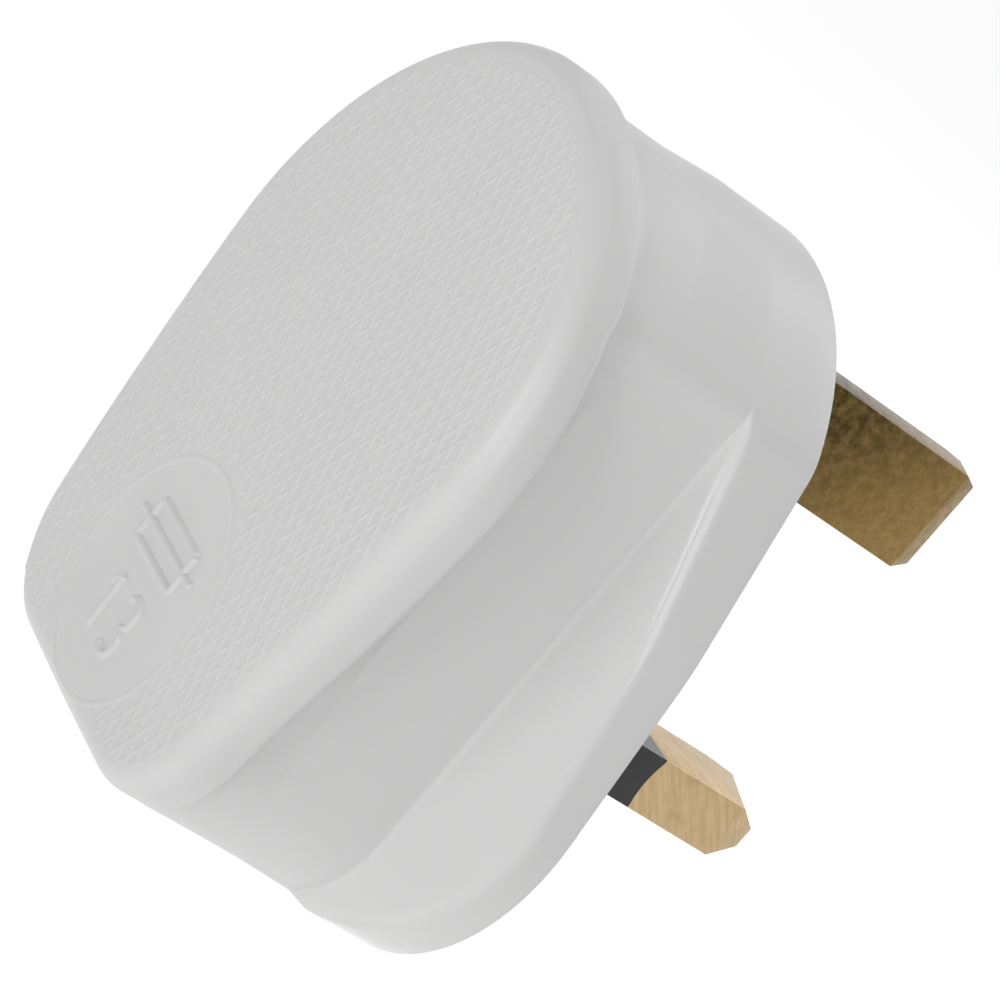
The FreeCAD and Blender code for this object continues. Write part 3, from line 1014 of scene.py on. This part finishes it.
        rings = [
            self.ring(cavity, form.body_depth - self.back_wall),
            self.ring(cavity, self.base_thickness),
            self.ring(pocket, self.base_thickness),
            self.ring(pocket, 0.0, self.pocket_round, self.small_steps),
            self.ring(skirt, 0.0, self.front_round, self.front_steps),
            self.ring(skirt, edge_depth, self.edge_round, self.edge_steps),
            self.ring(waist, form.skirt_depth, self.junction_round, self.bend_steps),
            self.ring(wall, crease_depth - self.groove_width, self.groove_round, self.bend_steps),
            self.ring(crease, crease_depth, crease_round, self.bend_steps),
            self.ring(neck, rim_front, self.neck_round, self.small_steps),
            self.ring(rim, rim_front, self.rim_front_round, self.bend_steps),
            self.ring(rim, rim_back, self.back_rounding(turn), self.back_steps),
        ]
        for k in range(1, self.face_rings + 1):
            share = 1.0 - k / (self.face_rings + 1)
            inner = (rim - self.rim_back_round - self.face_margin) * share
            rings.append(self.ring(inner, form.face_depth(form.hub + inner * np.sin(turn))))
        return rings

    def lowness(self, turn: np.ndarray) -> np.ndarray:
        """How far each direction points down, from 0 at the sides to 1 at the bottom."""
        return np.clip(-np.sin(turn), 0.0, 1.0) ** self.low_focus

    def back_rounding(self, turn: np.ndarray) -> np.ndarray:
        """Rounding between the face and the rim in each direction, smaller at the bottom."""
        return self.rim_back_round * (1 - self.low_round_share * self.lowness(turn))

    def back_depth(self, places: np.ndarray) -> np.ndarray:
        """Depth of the head's face, its rounded edge included.

        Args:
            places: Points of the XZ plane inside the head's outline, one to a row.

        Returns:
            Depth behind the pin face at each point.
        """
        form = self.form
        radius = self.back_rounding(np.arctan2(places[:, 1] - form.hub, places[:, 0]))
        near = np.clip(radius - form.head().gap(places), 0.0, radius)
        return form.face_depth(places[:, 1]) - radius + np.sqrt(radius**2 - near**2)

    def cut_inlet(self, cover: bpy.types.Object) -> None:
        """Cuts the slot and the round hole for the cord through the flat bottom.

        Args:
            cover: The cover's object.
        """
        form = self.form
        half = self.inlet_radius + self.tongue_margin
        roof = form.flat_bottom + self.inlet_wall
        low = roof - self.tool_walls * self.inlet_wall
        for tool in (self.slot_tool(half, low, roof), self.round_tool(low, roof)):
            cut = cover.modifiers.new("inlet", "BOOLEAN")
            cut.operation = "DIFFERENCE"
            cut.solver = "EXACT"
            cut.object = tool
            apply_modifiers(cover)
            bpy.data.objects.remove(tool)

    def slot_tool(self, half: float, low: float, roof: float) -> bpy.types.Object:
        """A block as wide as the tongue's slot, open to the pin face.

        Args:
            half: Half its width.
            low: Height of its underside.
            roof: Height of its top.

        Returns:
            The cutting object.
        """
        work = bmesh.new()
        front = self.inlet_wall
        size = Matrix.Diagonal((2 * half, self.inlet_depth + front, roof - low, 1.0))
        place = Matrix.Translation((0.0, (front - self.inlet_depth) / 2, (roof + low) / 2))
        bmesh.ops.create_cube(work, size=1.0, matrix=place @ size)
        return self.tool_object("slot_tool", work)

    def round_tool(self, low: float, roof: float) -> bpy.types.Object:
        """An upright rod of the cord inlet's size.

        Args:
            low: Height of its lower end.
            roof: Height of its upper end.

        Returns:
            The cutting object.
        """
        work = bmesh.new()
        place = Matrix.Translation((0.0, -self.inlet_depth, (roof + low) / 2))
        bmesh.ops.create_cone(
            work,
            cap_ends=True,
            segments=self.inlet_segments,
            radius1=self.inlet_radius,
            radius2=self.inlet_radius,
            depth=roof - low,
            matrix=place,
        )
        return self.tool_object("round_tool", work)

    def tool_object(self, name: str, work: bmesh.types.BMesh) -> bpy.types.Object:
        """Turns a bmesh in millimetres into a cutting object.

        Args:
            name: Name of the object.
            work: The bmesh, which is freed.

        Returns:
            The cutting object.
        """
        bmesh.ops.scale(work, vec=(MM, MM, MM), verts=work.verts)
        mesh = bpy.data.meshes.new(name)
        work.to_mesh(mesh)
        work.free()
        tool = bpy.data.objects.new(name, mesh)
        bpy.context.scene.collection.objects.link(tool)
        return tool

    def dress(self, finish: MouldedWhite) -> bpy.types.Object:
        """Builds the cover in its finish.

        Args:
            finish: The white moulding.

        Returns:
            The cover's object.
        """
        cover = self.build()
        seat(cover, finish.material())
        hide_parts("rear_cover")
        return cover


@dataclass
class RaisedLines:
    """Raised lines with a rounded section that stand on the head's face.

    Attributes:
        cover: The cover that carries them.
        half_width: Half the width of a line at its foot.
        height: Its height above the face.
        sink: Depth of its foot below the face.
        flank: Place of a flank's middle point, as shares of the half-width and the height.
    """

    cover: RearCover
    half_width: float
    height: float
    sink: float = 0.02
    flank: Place = (0.55, 0.6)

    def section(self) -> np.ndarray:
        """Section of a line, from its left foot to its right foot.

        Returns:
            Places across and heights, one point to a row.
        """
        flank = [-self.flank[0], self.flank[1] * self.height]
        half = np.array([[-1.0, -self.sink], flank, [0.0, self.height]])
        full = np.concatenate([half, (half * (-1.0, 1.0))[1::-1]])
        return full * (self.half_width, 1.0)

    def build(self, name: str, runs: list[np.ndarray]) -> bpy.types.Object:
        """Makes all lines as one object.

        Args:
            name: Name of the object.
            runs: Points of the XZ plane along each line, one to a row.

        Returns:
            The object.
        """
        section = self.section()
        size = len(section)
        points: list[np.ndarray] = []
        faces: Faces = []
        base = 0
        for run in runs:
            way = np.gradient(run, axis=0)
            way = way / np.linalg.norm(way, axis=1, keepdims=True)
            across = np.stack([way[:, 1], -way[:, 0]], axis=1)
            fade = np.ones(len(run))
            fade[[0, -1]] = 0.0
            spots = run[:, None, :] + section[None, :, :1] * across[:, None, :]
            lift = section[None, :, 1] * fade[:, None] - self.sink * (1 - fade[:, None])
            depth = self.cover.back_depth(spots.reshape(-1, 2)).reshape(lift.shape) + lift
            points.append(np.stack([spots[..., 0], -depth, spots[..., 1]], axis=2).reshape(-1, 3))
            for i in range(len(run) - 1):
                for j in range(size - 1):
                    corner = base + i * size + j
                    faces.append((corner, corner + 1, corner + size + 1, corner + size))
            base += len(run) * size
        return mesh_piece(name, np.concatenate(points), faces)


@dataclass
class GripRidges:
    """Fine raised ridges in two slanting families that make long diamonds on the head's face."""

    cover: RearCover
    pitch_across: float = 1.31
    pitch_up: float = 2.5
    half_width: float = 0.24
    height: float = 0.1
    low_height: float = 0.055
    margin: float = 0.65
    label_margin: float = 0.3
    least_points: int = 3
    step: float = 0.4

    def lines(self, lean: int) -> list[np.ndarray]:
        """Runs of points of one family of ridges.

        Args:
            lean: 1 for ridges that lean right going up, -1 for the mirror family.

        Returns:
            One array of XZ points for each unbroken run.
        """
        form = self.cover.form
        reach = form.head_top_radius + form.head_top_centre - form.head_bottom
        way = np.array([lean * self.pitch_across / 2, self.pitch_up / 2])
        way = way / np.linalg.norm(way)
        border = form.head(self.margin)
        count = int(reach / self.pitch_across)
        spots = np.arange(-reach, reach, self.step)
        runs = []
        for k in range(-count, count + 1):
            start = np.array([k * self.pitch_across, form.hub])
            line = start + spots[:, None] * way
            label = np.hypot(line[:, 0], line[:, 1] - form.label_height)
            keep = border.inside(line, form.hub) & (label > form.label_radius + self.label_margin)
            marks = np.flatnonzero(np.diff(np.concatenate([[0], keep.astype(int), [0]])))
            runs += [line[a:b] for a, b in zip(marks[::2], marks[1::2]) if b - a >= self.least_points]
        return runs

    def dress(self, finish: MouldedWhite) -> None:
        """Builds the ridges in their finish.

        Args:
            finish: The white of the ridges.
        """
        material = finish.material()
        for name, lean, height in (("grip_ridges", -1, self.height), ("cross_ridges", 1, self.low_height)):
            ridges = RaisedLines(self.cover, self.half_width, height)
            seat(ridges.build(name, self.lines(lean)), material)


@dataclass
class LabelMarks:
    """The plain round place on the head's face with a generic fuse symbol and its rating number."""

    cover: RearCover
    half_width: float = 0.32
    height: float = 0.32
    edge_height: float = 0.06
    edge_points: int = 180
    symbol_height: float = -7.2
    symbol_half_width: float = 3.7
    symbol_half_rise: float = 1.5
    lead_length: float = 1.7
    number_height: float = -12.9
    digit_half_width: float = 1.0
    digit_half_rise: float = 2.1
    digit_gap: float = 1.6
    digit_opening: float = 150.0
    stroke_spans: int = 2
    bow_spans: int = 8
    step: float = 0.12

    def stroke(self, *corners: Place) -> np.ndarray:
        """Close-set points along straight stretches between corners.

        Args:
            *corners: Corners of the XZ plane, in order.

        Returns:
            Points of the XZ plane, one to a row.
        """
        points = [np.array(corners[:1])]
        for start, end in zip(corners, corners[1:]):
            count = max(self.stroke_spans, math.ceil(math.dist(start, end) / self.step))
            share = np.linspace(0.0, 1.0, count + 1)[1:, None]
            points.append(np.array(start) + share * (np.array(end) - np.array(start)))
        return np.concatenate(points)

    def bow(self, centre: Place, radius: float, start: float, end: float) -> np.ndarray:
        """Close-set points along an arc."""
        count = max(self.bow_spans, math.ceil(radius * math.radians(abs(end - start)) / self.step))
        return np.array([on_circle(centre, radius, angle) for angle in np.linspace(start, end, count + 1)])

    def edge(self) -> list[np.ndarray]:
        """The thin line round the place.

        Returns:
            Its one closed run of points.
        """
        form = self.cover.form
        turns = np.linspace(0.0, 360.0, self.edge_points + 1)
        return [np.array([on_circle((0.0, form.label_height), form.label_radius, turn) for turn in turns])]

    def symbol(self) -> list[np.ndarray]:
        """A fuse symbol: a box with a straight wire through it.

        Returns:
            One run of points for each stroke.
        """
        wide = self.symbol_half_width
        tall = self.symbol_half_rise
        mid = self.symbol_height
        far = wide + self.lead_length
        sides = [
            self.stroke((-wide, mid + tall), (wide, mid + tall)),
            self.stroke((-wide, mid - tall), (wide, mid - tall)),
            self.stroke((-wide, mid - tall), (-wide, mid + tall)),
            self.stroke((wide, mid - tall), (wide, mid + tall)),
        ]
        return sides + [self.stroke((-far, mid), (far, mid))]

    def number(self) -> list[np.ndarray]:
        """The figures 1 and 3.

        Returns:
            One run of points for each stroke.
        """
        tall = self.digit_half_rise
        mid = self.number_height
        one = -self.digit_gap
        three = self.digit_gap
        radius = tall / 2
        return [
            self.stroke((one, mid - tall), (one, mid + tall)),
            self.stroke((one, mid + tall), (one - self.digit_half_width, mid + tall / 2)),
            self.bow((three, mid + radius), radius, self.digit_opening, -90.0),
            self.bow((three, mid - radius), radius, 90.0, -self.digit_opening),
        ]

    def dress(self, finish: MouldedWhite) -> None:
        """Builds the marks in their finish.

        Args:
            finish: The white of the marks.
        """
        material = finish.material()
        edge = RaisedLines(self.cover, self.half_width, self.edge_height)
        seat(edge.build("label_edge", self.edge()), material)
        marks = RaisedLines(self.cover, self.half_width, self.height)
        seat(marks.build("label_marks", self.symbol() + self.number()), material)


@dataclass
class MouldLine:
    """The faint raised line that the mould left over the top end of the waist and the skirt.

    Attributes:
        carrier: The cover's object, which it lies on.
    """

    carrier: bpy.types.Object
    half_width: float = 0.17
    height: float = 0.03
    sink: float = 0.02
    above: float = 60.0
    step: float = 0.25
    start: Place = (4.1, -16.6)
    end: Place = (5.3, -4.2)
    bow: float = 0.5

    def trace(self) -> np.ndarray:
        """Close-set points along the gently bowed line.

        Returns:
            Points of the XY plane, one to a row.
        """
        count = math.ceil(math.dist(self.start, self.end) / self.step)
        share = np.linspace(0.0, 1.0, count + 1)
        x = self.start[0] + share * (self.end[0] - self.start[0]) + 4 * self.bow * share * (1 - share)
        return np.stack([x, self.start[1] + share * (self.end[1] - self.start[1])], axis=1)

    def build(self) -> bpy.types.Object:
        """Makes the line on the cover's top.

        Returns:
            The line's object.
        """
        tree = BVHTree.FromObject(self.carrier, bpy.context.evaluated_depsgraph_get())
        down = Vector((0.0, 0.0, -1.0))
        points: list[tuple[float, float, float]] = []
        faces: Faces = []
        trace = self.trace()
        for i, (x, y) in enumerate(trace):
            rise = self.height if 0 < i < len(trace) - 1 else -self.sink
            for shift, lift in ((-self.half_width, -self.sink), (0.0, rise), (self.half_width, -self.sink)):
                found = tree.ray_cast(Vector((x + shift, y, self.above)) * MM, down)[0]
                points.append((x + shift, y, found.z / MM + lift))
        for i in range(len(trace) - 1):
            corner = 3 * i
            faces.append((corner, corner + 1, corner + 4, corner + 3))
            faces.append((corner + 1, corner + 2, corner + 5, corner + 4))
        return mesh_piece("mould_line", np.array(points), faces)

    def dress(self, finish: MouldedWhite) -> None:
        """Builds the line in its finish."""
        seat(self.build(), finish.material())


@dataclass
class PinBlade:
    """The bright part of a pin: a flat bar with softened edges and a tip cut back on its outer side.

    Attributes:
        name: Name of the piece.
        centre: Place of the pin in the XZ plane.
        width: Size along X.
        height: Size along Z.
        start: Depth in front of the pin face where the bright part begins.
        length: Reach in front of the pin face.
        tip_length: Length of the tip's slope.
        tip_side: How far the outer side is cut back at the end.
        tip_end: How far top and bottom are cut back at the outer side of the end.
        inner_side: How far the inner side is cut back at the end.
        outer: 1 where the outer side faces +X, -1 where it faces -X.
        hollow: How far the start is drawn back at the middle of each side.
        skin: How far the blade stands out from the plain pin.
        edge: Width of its softened edges.
        edge_steps: Number of spans across a softened edge.
        edge_angle: Least angle of an edge that is softened, in degrees.
        sharp_angle: Least angle of an edge that is shaded sharp, in degrees.
        spans: Number of spans along each side of the section.
    """

    name: str
    centre: Place
    width: float
    height: float
    start: float
    length: float
    tip_length: float
    tip_side: float
    tip_end: float
    inner_side: float
    outer: int = 1
    hollow: float = 0.0
    skin: float = 0.015
    edge: float = 0.13
    edge_steps: int = 3
    edge_angle: float = 18.0
    sharp_angle: float = 40.0
    spans: int = 10

    def section(self, inner: float, outer: float, top: float) -> np.ndarray:
        """Points round the bar, from the inner lower corner over the outer side.

        Args:
            inner: Cut at the inner side.
            outer: Cut at the outer side.
            top: Cut at the top and the bottom of the outer side.

        Returns:
            Points of the XZ plane, one to a row.
        """
        half = self.width / 2 + self.skin
        tall = self.height / 2 + self.skin
        near = self.outer * (half - outer)
        far = -self.outer * (half - inner)
        share = np.linspace(-1.0, 1.0, self.spans + 1)
        near_side = np.stack([np.full(self.spans + 1, near), share * (tall - top)], axis=1)
        far_side = np.stack([np.full(self.spans + 1, far), -share * (tall - inner)], axis=1)
        return np.concatenate([near_side, far_side]) + self.centre

    def build(self) -> bpy.types.Object:
        """Makes the blade.

        Returns:
            The blade's object.
        """
        share = np.linspace(-1.0, 1.0, self.spans + 1)
        draw = self.hollow * (1 - np.concatenate([share, share]) ** 2)
        plain = self.section(0.0, 0.0, 0.0)
        tip = self.section(self.inner_side, self.tip_side, self.tip_end)
        stations = (
            (plain, self.start - draw),
            (plain, np.full(len(plain), self.length - self.tip_length)),
            (tip, np.full(len(plain), self.length + self.skin)),
        )
        rows = [np.stack([spots[:, 0], depth, spots[:, 1]], axis=1) for spots, depth in stations]
        count = len(plain)
        faces = band_faces(len(rows), count)
        faces.append(tuple(range(count))[::-1])
        faces.append(tuple(range(2 * count, 3 * count)))
        blade = mesh_piece(self.name, np.concatenate(rows), faces)
        self.soften(blade)
        return blade

    def soften(self, blade: bpy.types.Object) -> None:
        """Turns the faces outwards and rounds the blade's edges a little.

        Args:
            blade: The blade's object.
        """
        work = bmesh.new()
        work.from_mesh(blade.data)
        bmesh.ops.recalc_face_normals(work, faces=work.faces)
        work.to_mesh(blade.data)
        work.free()
        soft = blade.modifiers.new("edges", "BEVEL")
        soft.width = self.edge * MM
        soft.segments = self.edge_steps
        soft.limit_method = "ANGLE"
        soft.angle_limit = math.radians(self.edge_angle)
        apply_modifiers(blade)
        blade.data.set_sharp_from_angle(angle=math.radians(self.sharp_angle))

    def dress(self, finish: Brass) -> None:
        """Builds the blade in its brass."""
        seat(self.build(), finish.material())


@dataclass
class Dressing:
    """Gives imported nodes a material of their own."""

    nodes: dict[str, bpy.types.Object]

    def dress(self, names: tuple[str, ...], finish: Brass | PlainFinish) -> None:
        """Sets one material on several nodes.

        Args:
            names: Names of the nodes.
            finish: Their finish.
        """
        material = finish.material()
        for name in names:
            for slot in self.nodes[name].material_slots:
                slot.material = material
            log.info("%s: %s", name, material.name)


@dataclass(frozen=True)
class Panel:
    """A square soft light that faces the part.

    Attributes:
        name: Name of the light.
        place: Its place in millimetres.
        width: Its width in metres.
        power: Its power in watts.
    """

    name: str
    place: tuple[float, float, float]
    width: float
    power: float

    def build(self) -> None:
        """Adds the light to the scene."""
        data = bpy.data.lights.new(self.name, "AREA")
        data.size = self.width
        data.energy = self.power
        lamp = bpy.data.objects.new(self.name, data)
        lamp.location = Vector(self.place) * MM
        lamp.rotation_euler = (-lamp.location).to_track_quat("-Z", "Y").to_euler()
        bpy.context.scene.collection.objects.link(lamp)


@dataclass
class Studio:
    """White floor, soft lights and the camera."""

    floor_height: float
    panels: tuple[Panel, ...] = (
        Panel("top_panel", (-150.0, 40.0, 650.0), 1.1, 3.0),
        Panel("near_panel", (430.0, -200.0, 150.0), 0.3, 0.56),
        Panel("back_panel", (170.0, -420.0, 90.0), 0.2, 0.46),
        Panel("front_panel", (-60.0, 430.0, 300.0), 0.4, 0.6),
    )
    floor_size: float = 6.0
    eye: tuple[float, float, float] = (240.48, -168.58, 63.99)
    azimuth: float = 55.8
    elevation: float = 11.09
    roll: float = 40.36
    focal_pixels: float = 4597.0
    image_width: float = 1000.0
    sensor: float = 36.0
    clip_start: float = 0.01
    world_level: float = 0.1
    shown_level: float = 1.0
    floor_glow: float = 0.94
    floor_fill: float = 0.42
    floor_pale: float = 0.88
    floor_colour: float = 0.16

    def build(self) -> None:
        """Makes the whole studio."""
        scene = bpy.context.scene
        scene.view_settings.view_transform = "Standard"
        self.make_world(scene)
        self.make_floor()
        for panel in self.panels:
            panel.build()
        self.make_camera(scene)

    def make_world(self, scene: bpy.types.Scene) -> None:
        """Fills the surroundings with even light.

        Args:
            scene: The scene that they belong to.
        """
        world = bpy.data.worlds.new("studio")
        world.use_nodes = True
        tree = world.node_tree
        back = tree.nodes["Background"]
        back.inputs["Strength"].default_value = self.world_level
        shown = tree.nodes.new("ShaderNodeBackground")
        shown.inputs["Strength"].default_value = self.shown_level
        for node in (back, shown):
            node.inputs["Color"].default_value = (1.0, 1.0, 1.0, 1.0)
        mix = tree.nodes.new("ShaderNodeMixShader")
        tree.links.new(self.seen_share(tree), mix.inputs[0])
        tree.links.new(back.outputs[0], mix.inputs[1])
        tree.links.new(shown.outputs[0], mix.inputs[2])
        tree.links.new(mix.outputs[0], tree.nodes["World Output"].inputs["Surface"])
        scene.world = world

    def seen_share(self, tree: bpy.types.NodeTree) -> bpy.types.NodeSocket:
        """Adds a value that is 1 for what the camera, gloss or glass shows, and 0 for plain light.

        Args:
            tree: Node tree of the floor or of the surroundings.

        Returns:
            The value.
        """
        path = tree.nodes.new("ShaderNodeLightPath")
        share = path.outputs["Is Camera Ray"]
        for name in ("Is Glossy Ray", "Is Transmission Ray"):
            larger = tree.nodes.new("ShaderNodeMath")
            larger.operation = "MAXIMUM"
            tree.links.new(share, larger.inputs[0])
            tree.links.new(path.outputs[name], larger.inputs[1])
            share = larger.outputs[0]
        return share

    def make_floor(self) -> None:
        """Lays a pale floor that shows white and keeps a faint shadow."""
        half = self.floor_size / MM / 2
        corners = [(-half, -half), (half, -half), (half, half), (-half, half)]
        points = np.array([(x, y, self.floor_height) for x, y in corners])
        floor = mesh_piece("floor", points, [(0, 1, 2, 3)])
        material = bpy.data.materials.new("floor_white")
        material.use_nodes = True
        tree = material.node_tree
        tree.nodes.clear()
        mix = tree.nodes.new("ShaderNodeMixShader")
        tree.links.new(self.seen_share(tree), mix.inputs[0])
        tree.links.new(self.lit_white(tree, self.floor_pale, self.floor_fill), mix.inputs[1])
        tree.links.new(self.lit_white(tree, self.floor_colour, self.floor_glow), mix.inputs[2])
        out = tree.nodes.new("ShaderNodeOutputMaterial")
        tree.links.new(mix.outputs[0], out.inputs["Surface"])
        floor.data.materials.append(material)
        floor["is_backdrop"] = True

    def lit_white(self, tree: bpy.types.NodeTree, pale: float, glow: float) -> bpy.types.NodeSocket:
        """Adds a white that glows a little and takes shadow.

        Args:
            tree: Node tree of the floor.
            pale: Grey level of its matt share.
            glow: Level of its glow.

        Returns:
            The shader's output.
        """
        matt = tree.nodes.new("ShaderNodeBsdfDiffuse")
        matt.inputs["Color"].default_value = (pale, pale, pale, 1.0)
        light = tree.nodes.new("ShaderNodeEmission")
        light.inputs["Strength"].default_value = glow
        both = tree.nodes.new("ShaderNodeAddShader")
        tree.links.new(matt.outputs[0], both.inputs[0])
        tree.links.new(light.outputs[0], both.inputs[1])
        return both.outputs[0]

    def make_camera(self, scene: bpy.types.Scene) -> None:
        """Places the camera at the photograph's view.

        Args:
            scene: The scene that it films.
        """
        az = math.radians(self.azimuth)
        el = math.radians(self.elevation)
        back = Vector((math.sin(az) * math.cos(el), -math.cos(az) * math.cos(el), math.sin(el)))
        level = (-back).cross(Vector((0.0, 0.0, 1.0))).normalized()
        rise = level.cross(-back)
        turn = math.radians(self.roll)
        right = math.cos(turn) * level + math.sin(turn) * rise
        up = back.cross(right)
        data = bpy.data.cameras.new("camera")
        data.sensor_fit = "HORIZONTAL"
        data.sensor_width = self.sensor
        data.lens = self.sensor * self.focal_pixels / self.image_width
        data.clip_start = self.clip_start
        camera = bpy.data.objects.new("camera", data)
        frame = Matrix((right, up, back)).transposed().to_4x4()
        camera.matrix_world = Matrix.Translation(Vector(self.eye) * MM) @ frame
        scene.collection.objects.link(camera)
        scene.camera = camera


def dress_pins(form: PlugForm, dressing: Dressing) -> None:
    """Puts the bright blades on the pins and gives the pins their brass.

    Args:
        form: Sizes of the body, which give the pins' places.
        dressing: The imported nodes.
    """
    # Painted reflection: the earth pin's brass is darker than the line pins' to stand in for the dark
    # surroundings it reflects.
    earth = Brass(
        "earth_brass",
        bright=(0.34, 0.215, 0.088),
        tarnish=(0.2, 0.135, 0.042),
        tarnish_share=(0.25, 0.8),
        painted_shade_share=1.0,
        cloud=1500.0,
        speck_share=0.5,
        brush_share=0.1,
    )
    line = Brass(
        "line_brass",
        bright=(0.55, 0.41, 0.235),
        tarnish=(0.42, 0.29, 0.15),
        tarnish_share=(0.45, 0.8),
        brush_turn=-45.0,
        brush_share=0.6,
    )
    PinBlade(
        "earth_blade",
        centre=(0.0, form.pin_spacing),
        width=4.0,
        height=8.0,
        start=-0.1,
        length=22.7,
        tip_length=1.75,
        tip_side=1.05,
        tip_end=0.6,
        inner_side=0.06,
    ).dress(earth)
    for name, side in (("live_blade", 1), ("neutral_blade", -1)):
        PinBlade(
            name,
            centre=(side * form.pin_spacing / 2, 0.0),
            width=6.35,
            height=4.0,
            start=8.0,
            length=17.7,
            tip_length=2.3,
            tip_side=1.05,
            tip_end=1.25,
            inner_side=0.1,
            outer=side,
            hollow=0.28,
        ).dress(line)
    dressing.dress(("earth_pin",), earth)
    dressing.dress(("live_pin", "neutral_pin"), line)


def dress_inside(dressing: Dressing) -> None:
    """Gives the base, the sleeves and the pieces inside their finishes.

    Args:
        dressing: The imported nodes.
    """
    terminal = Brass("terminal_brass", (0.72, 0.55, 0.28), (0.5, 0.36, 0.16))
    spring = Brass("clip_spring", (0.66, 0.45, 0.24), (0.45, 0.28, 0.14))
    base = PlainFinish("base_moulding", (0.64, 0.64, 0.635), (0.61, 0.61, 0.605), (0.35, 0.45))
    sleeve = PlainFinish("sleeve_plastic", (0.008, 0.008, 0.009), (0.014, 0.014, 0.014), (0.24, 0.34))
    steel = PlainFinish("plated_steel", (0.6, 0.6, 0.58), (0.48, 0.48, 0.46), (0.25, 0.4), metallic=1.0)
    ceramic = PlainFinish("fuse_ceramic", (0.7, 0.67, 0.62), (0.62, 0.6, 0.55), (0.5, 0.65))
    plating = PlainFinish(
        "fuse_cap_plating", (0.7, 0.68, 0.63), (0.58, 0.56, 0.52), (0.18, 0.3), metallic=1.0
    )
    fibre = PlainFinish("grip_fibre", (0.26, 0.1, 0.05), (0.2, 0.075, 0.035), (0.6, 0.75))
    wire_screws = ("earth_terminal_screw", "neutral_terminal_screw", "live_terminal_screw")
    for finish, names in (
        (terminal, ("live_terminal", "fuse_clip_rivets")),
        (spring, ("live_pin_fuse_clip", "terminal_fuse_clip")),
        (base, ("base",)),
        (sleeve, ("live_pin_sleeve", "neutral_pin_sleeve")),
        (steel, (*wire_screws, "cord_grip_screws", "cover_screw", "cover_nut")),
        (ceramic, ("fuse_tube",)),
        (plating, ("fuse_end_caps", "fuse_wire")),
        (fibre, ("cord_grip_bar", "screw_retaining_washer")),
    ):
        dressing.dress(names, finish)


def main() -> None:
    """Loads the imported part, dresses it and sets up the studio."""
    logging.basicConfig(level=logging.INFO, format="%(message)s")
    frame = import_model()
    packed_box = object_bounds()
    form = PlugForm()
    cover = RearCover(form)
    moulding = cover.dress(MouldedWhite("white_moulding"))
    GripRidges(cover).dress(MouldedWhite("grip_white"))
    LabelMarks(cover).dress(MouldedWhite("label_white"))
    # Painted highlight: the mould line's white is lighter than the body's to stand in for the light it
    # catches.
    highlight_line_white = MouldedWhite("mould_line_painted_highlight", (0.71, 0.71, 0.707), (0.69, 0.687, 0.686))
    MouldLine(moulding).dress(highlight_line_white)
    dressing = Dressing(frame["nodes"])
    dress_pins(form, dressing)
    dress_inside(dressing)
    Studio(floor_height=packed_box[0][2] / MM).build()


if __name__ == "__main__":
    main()
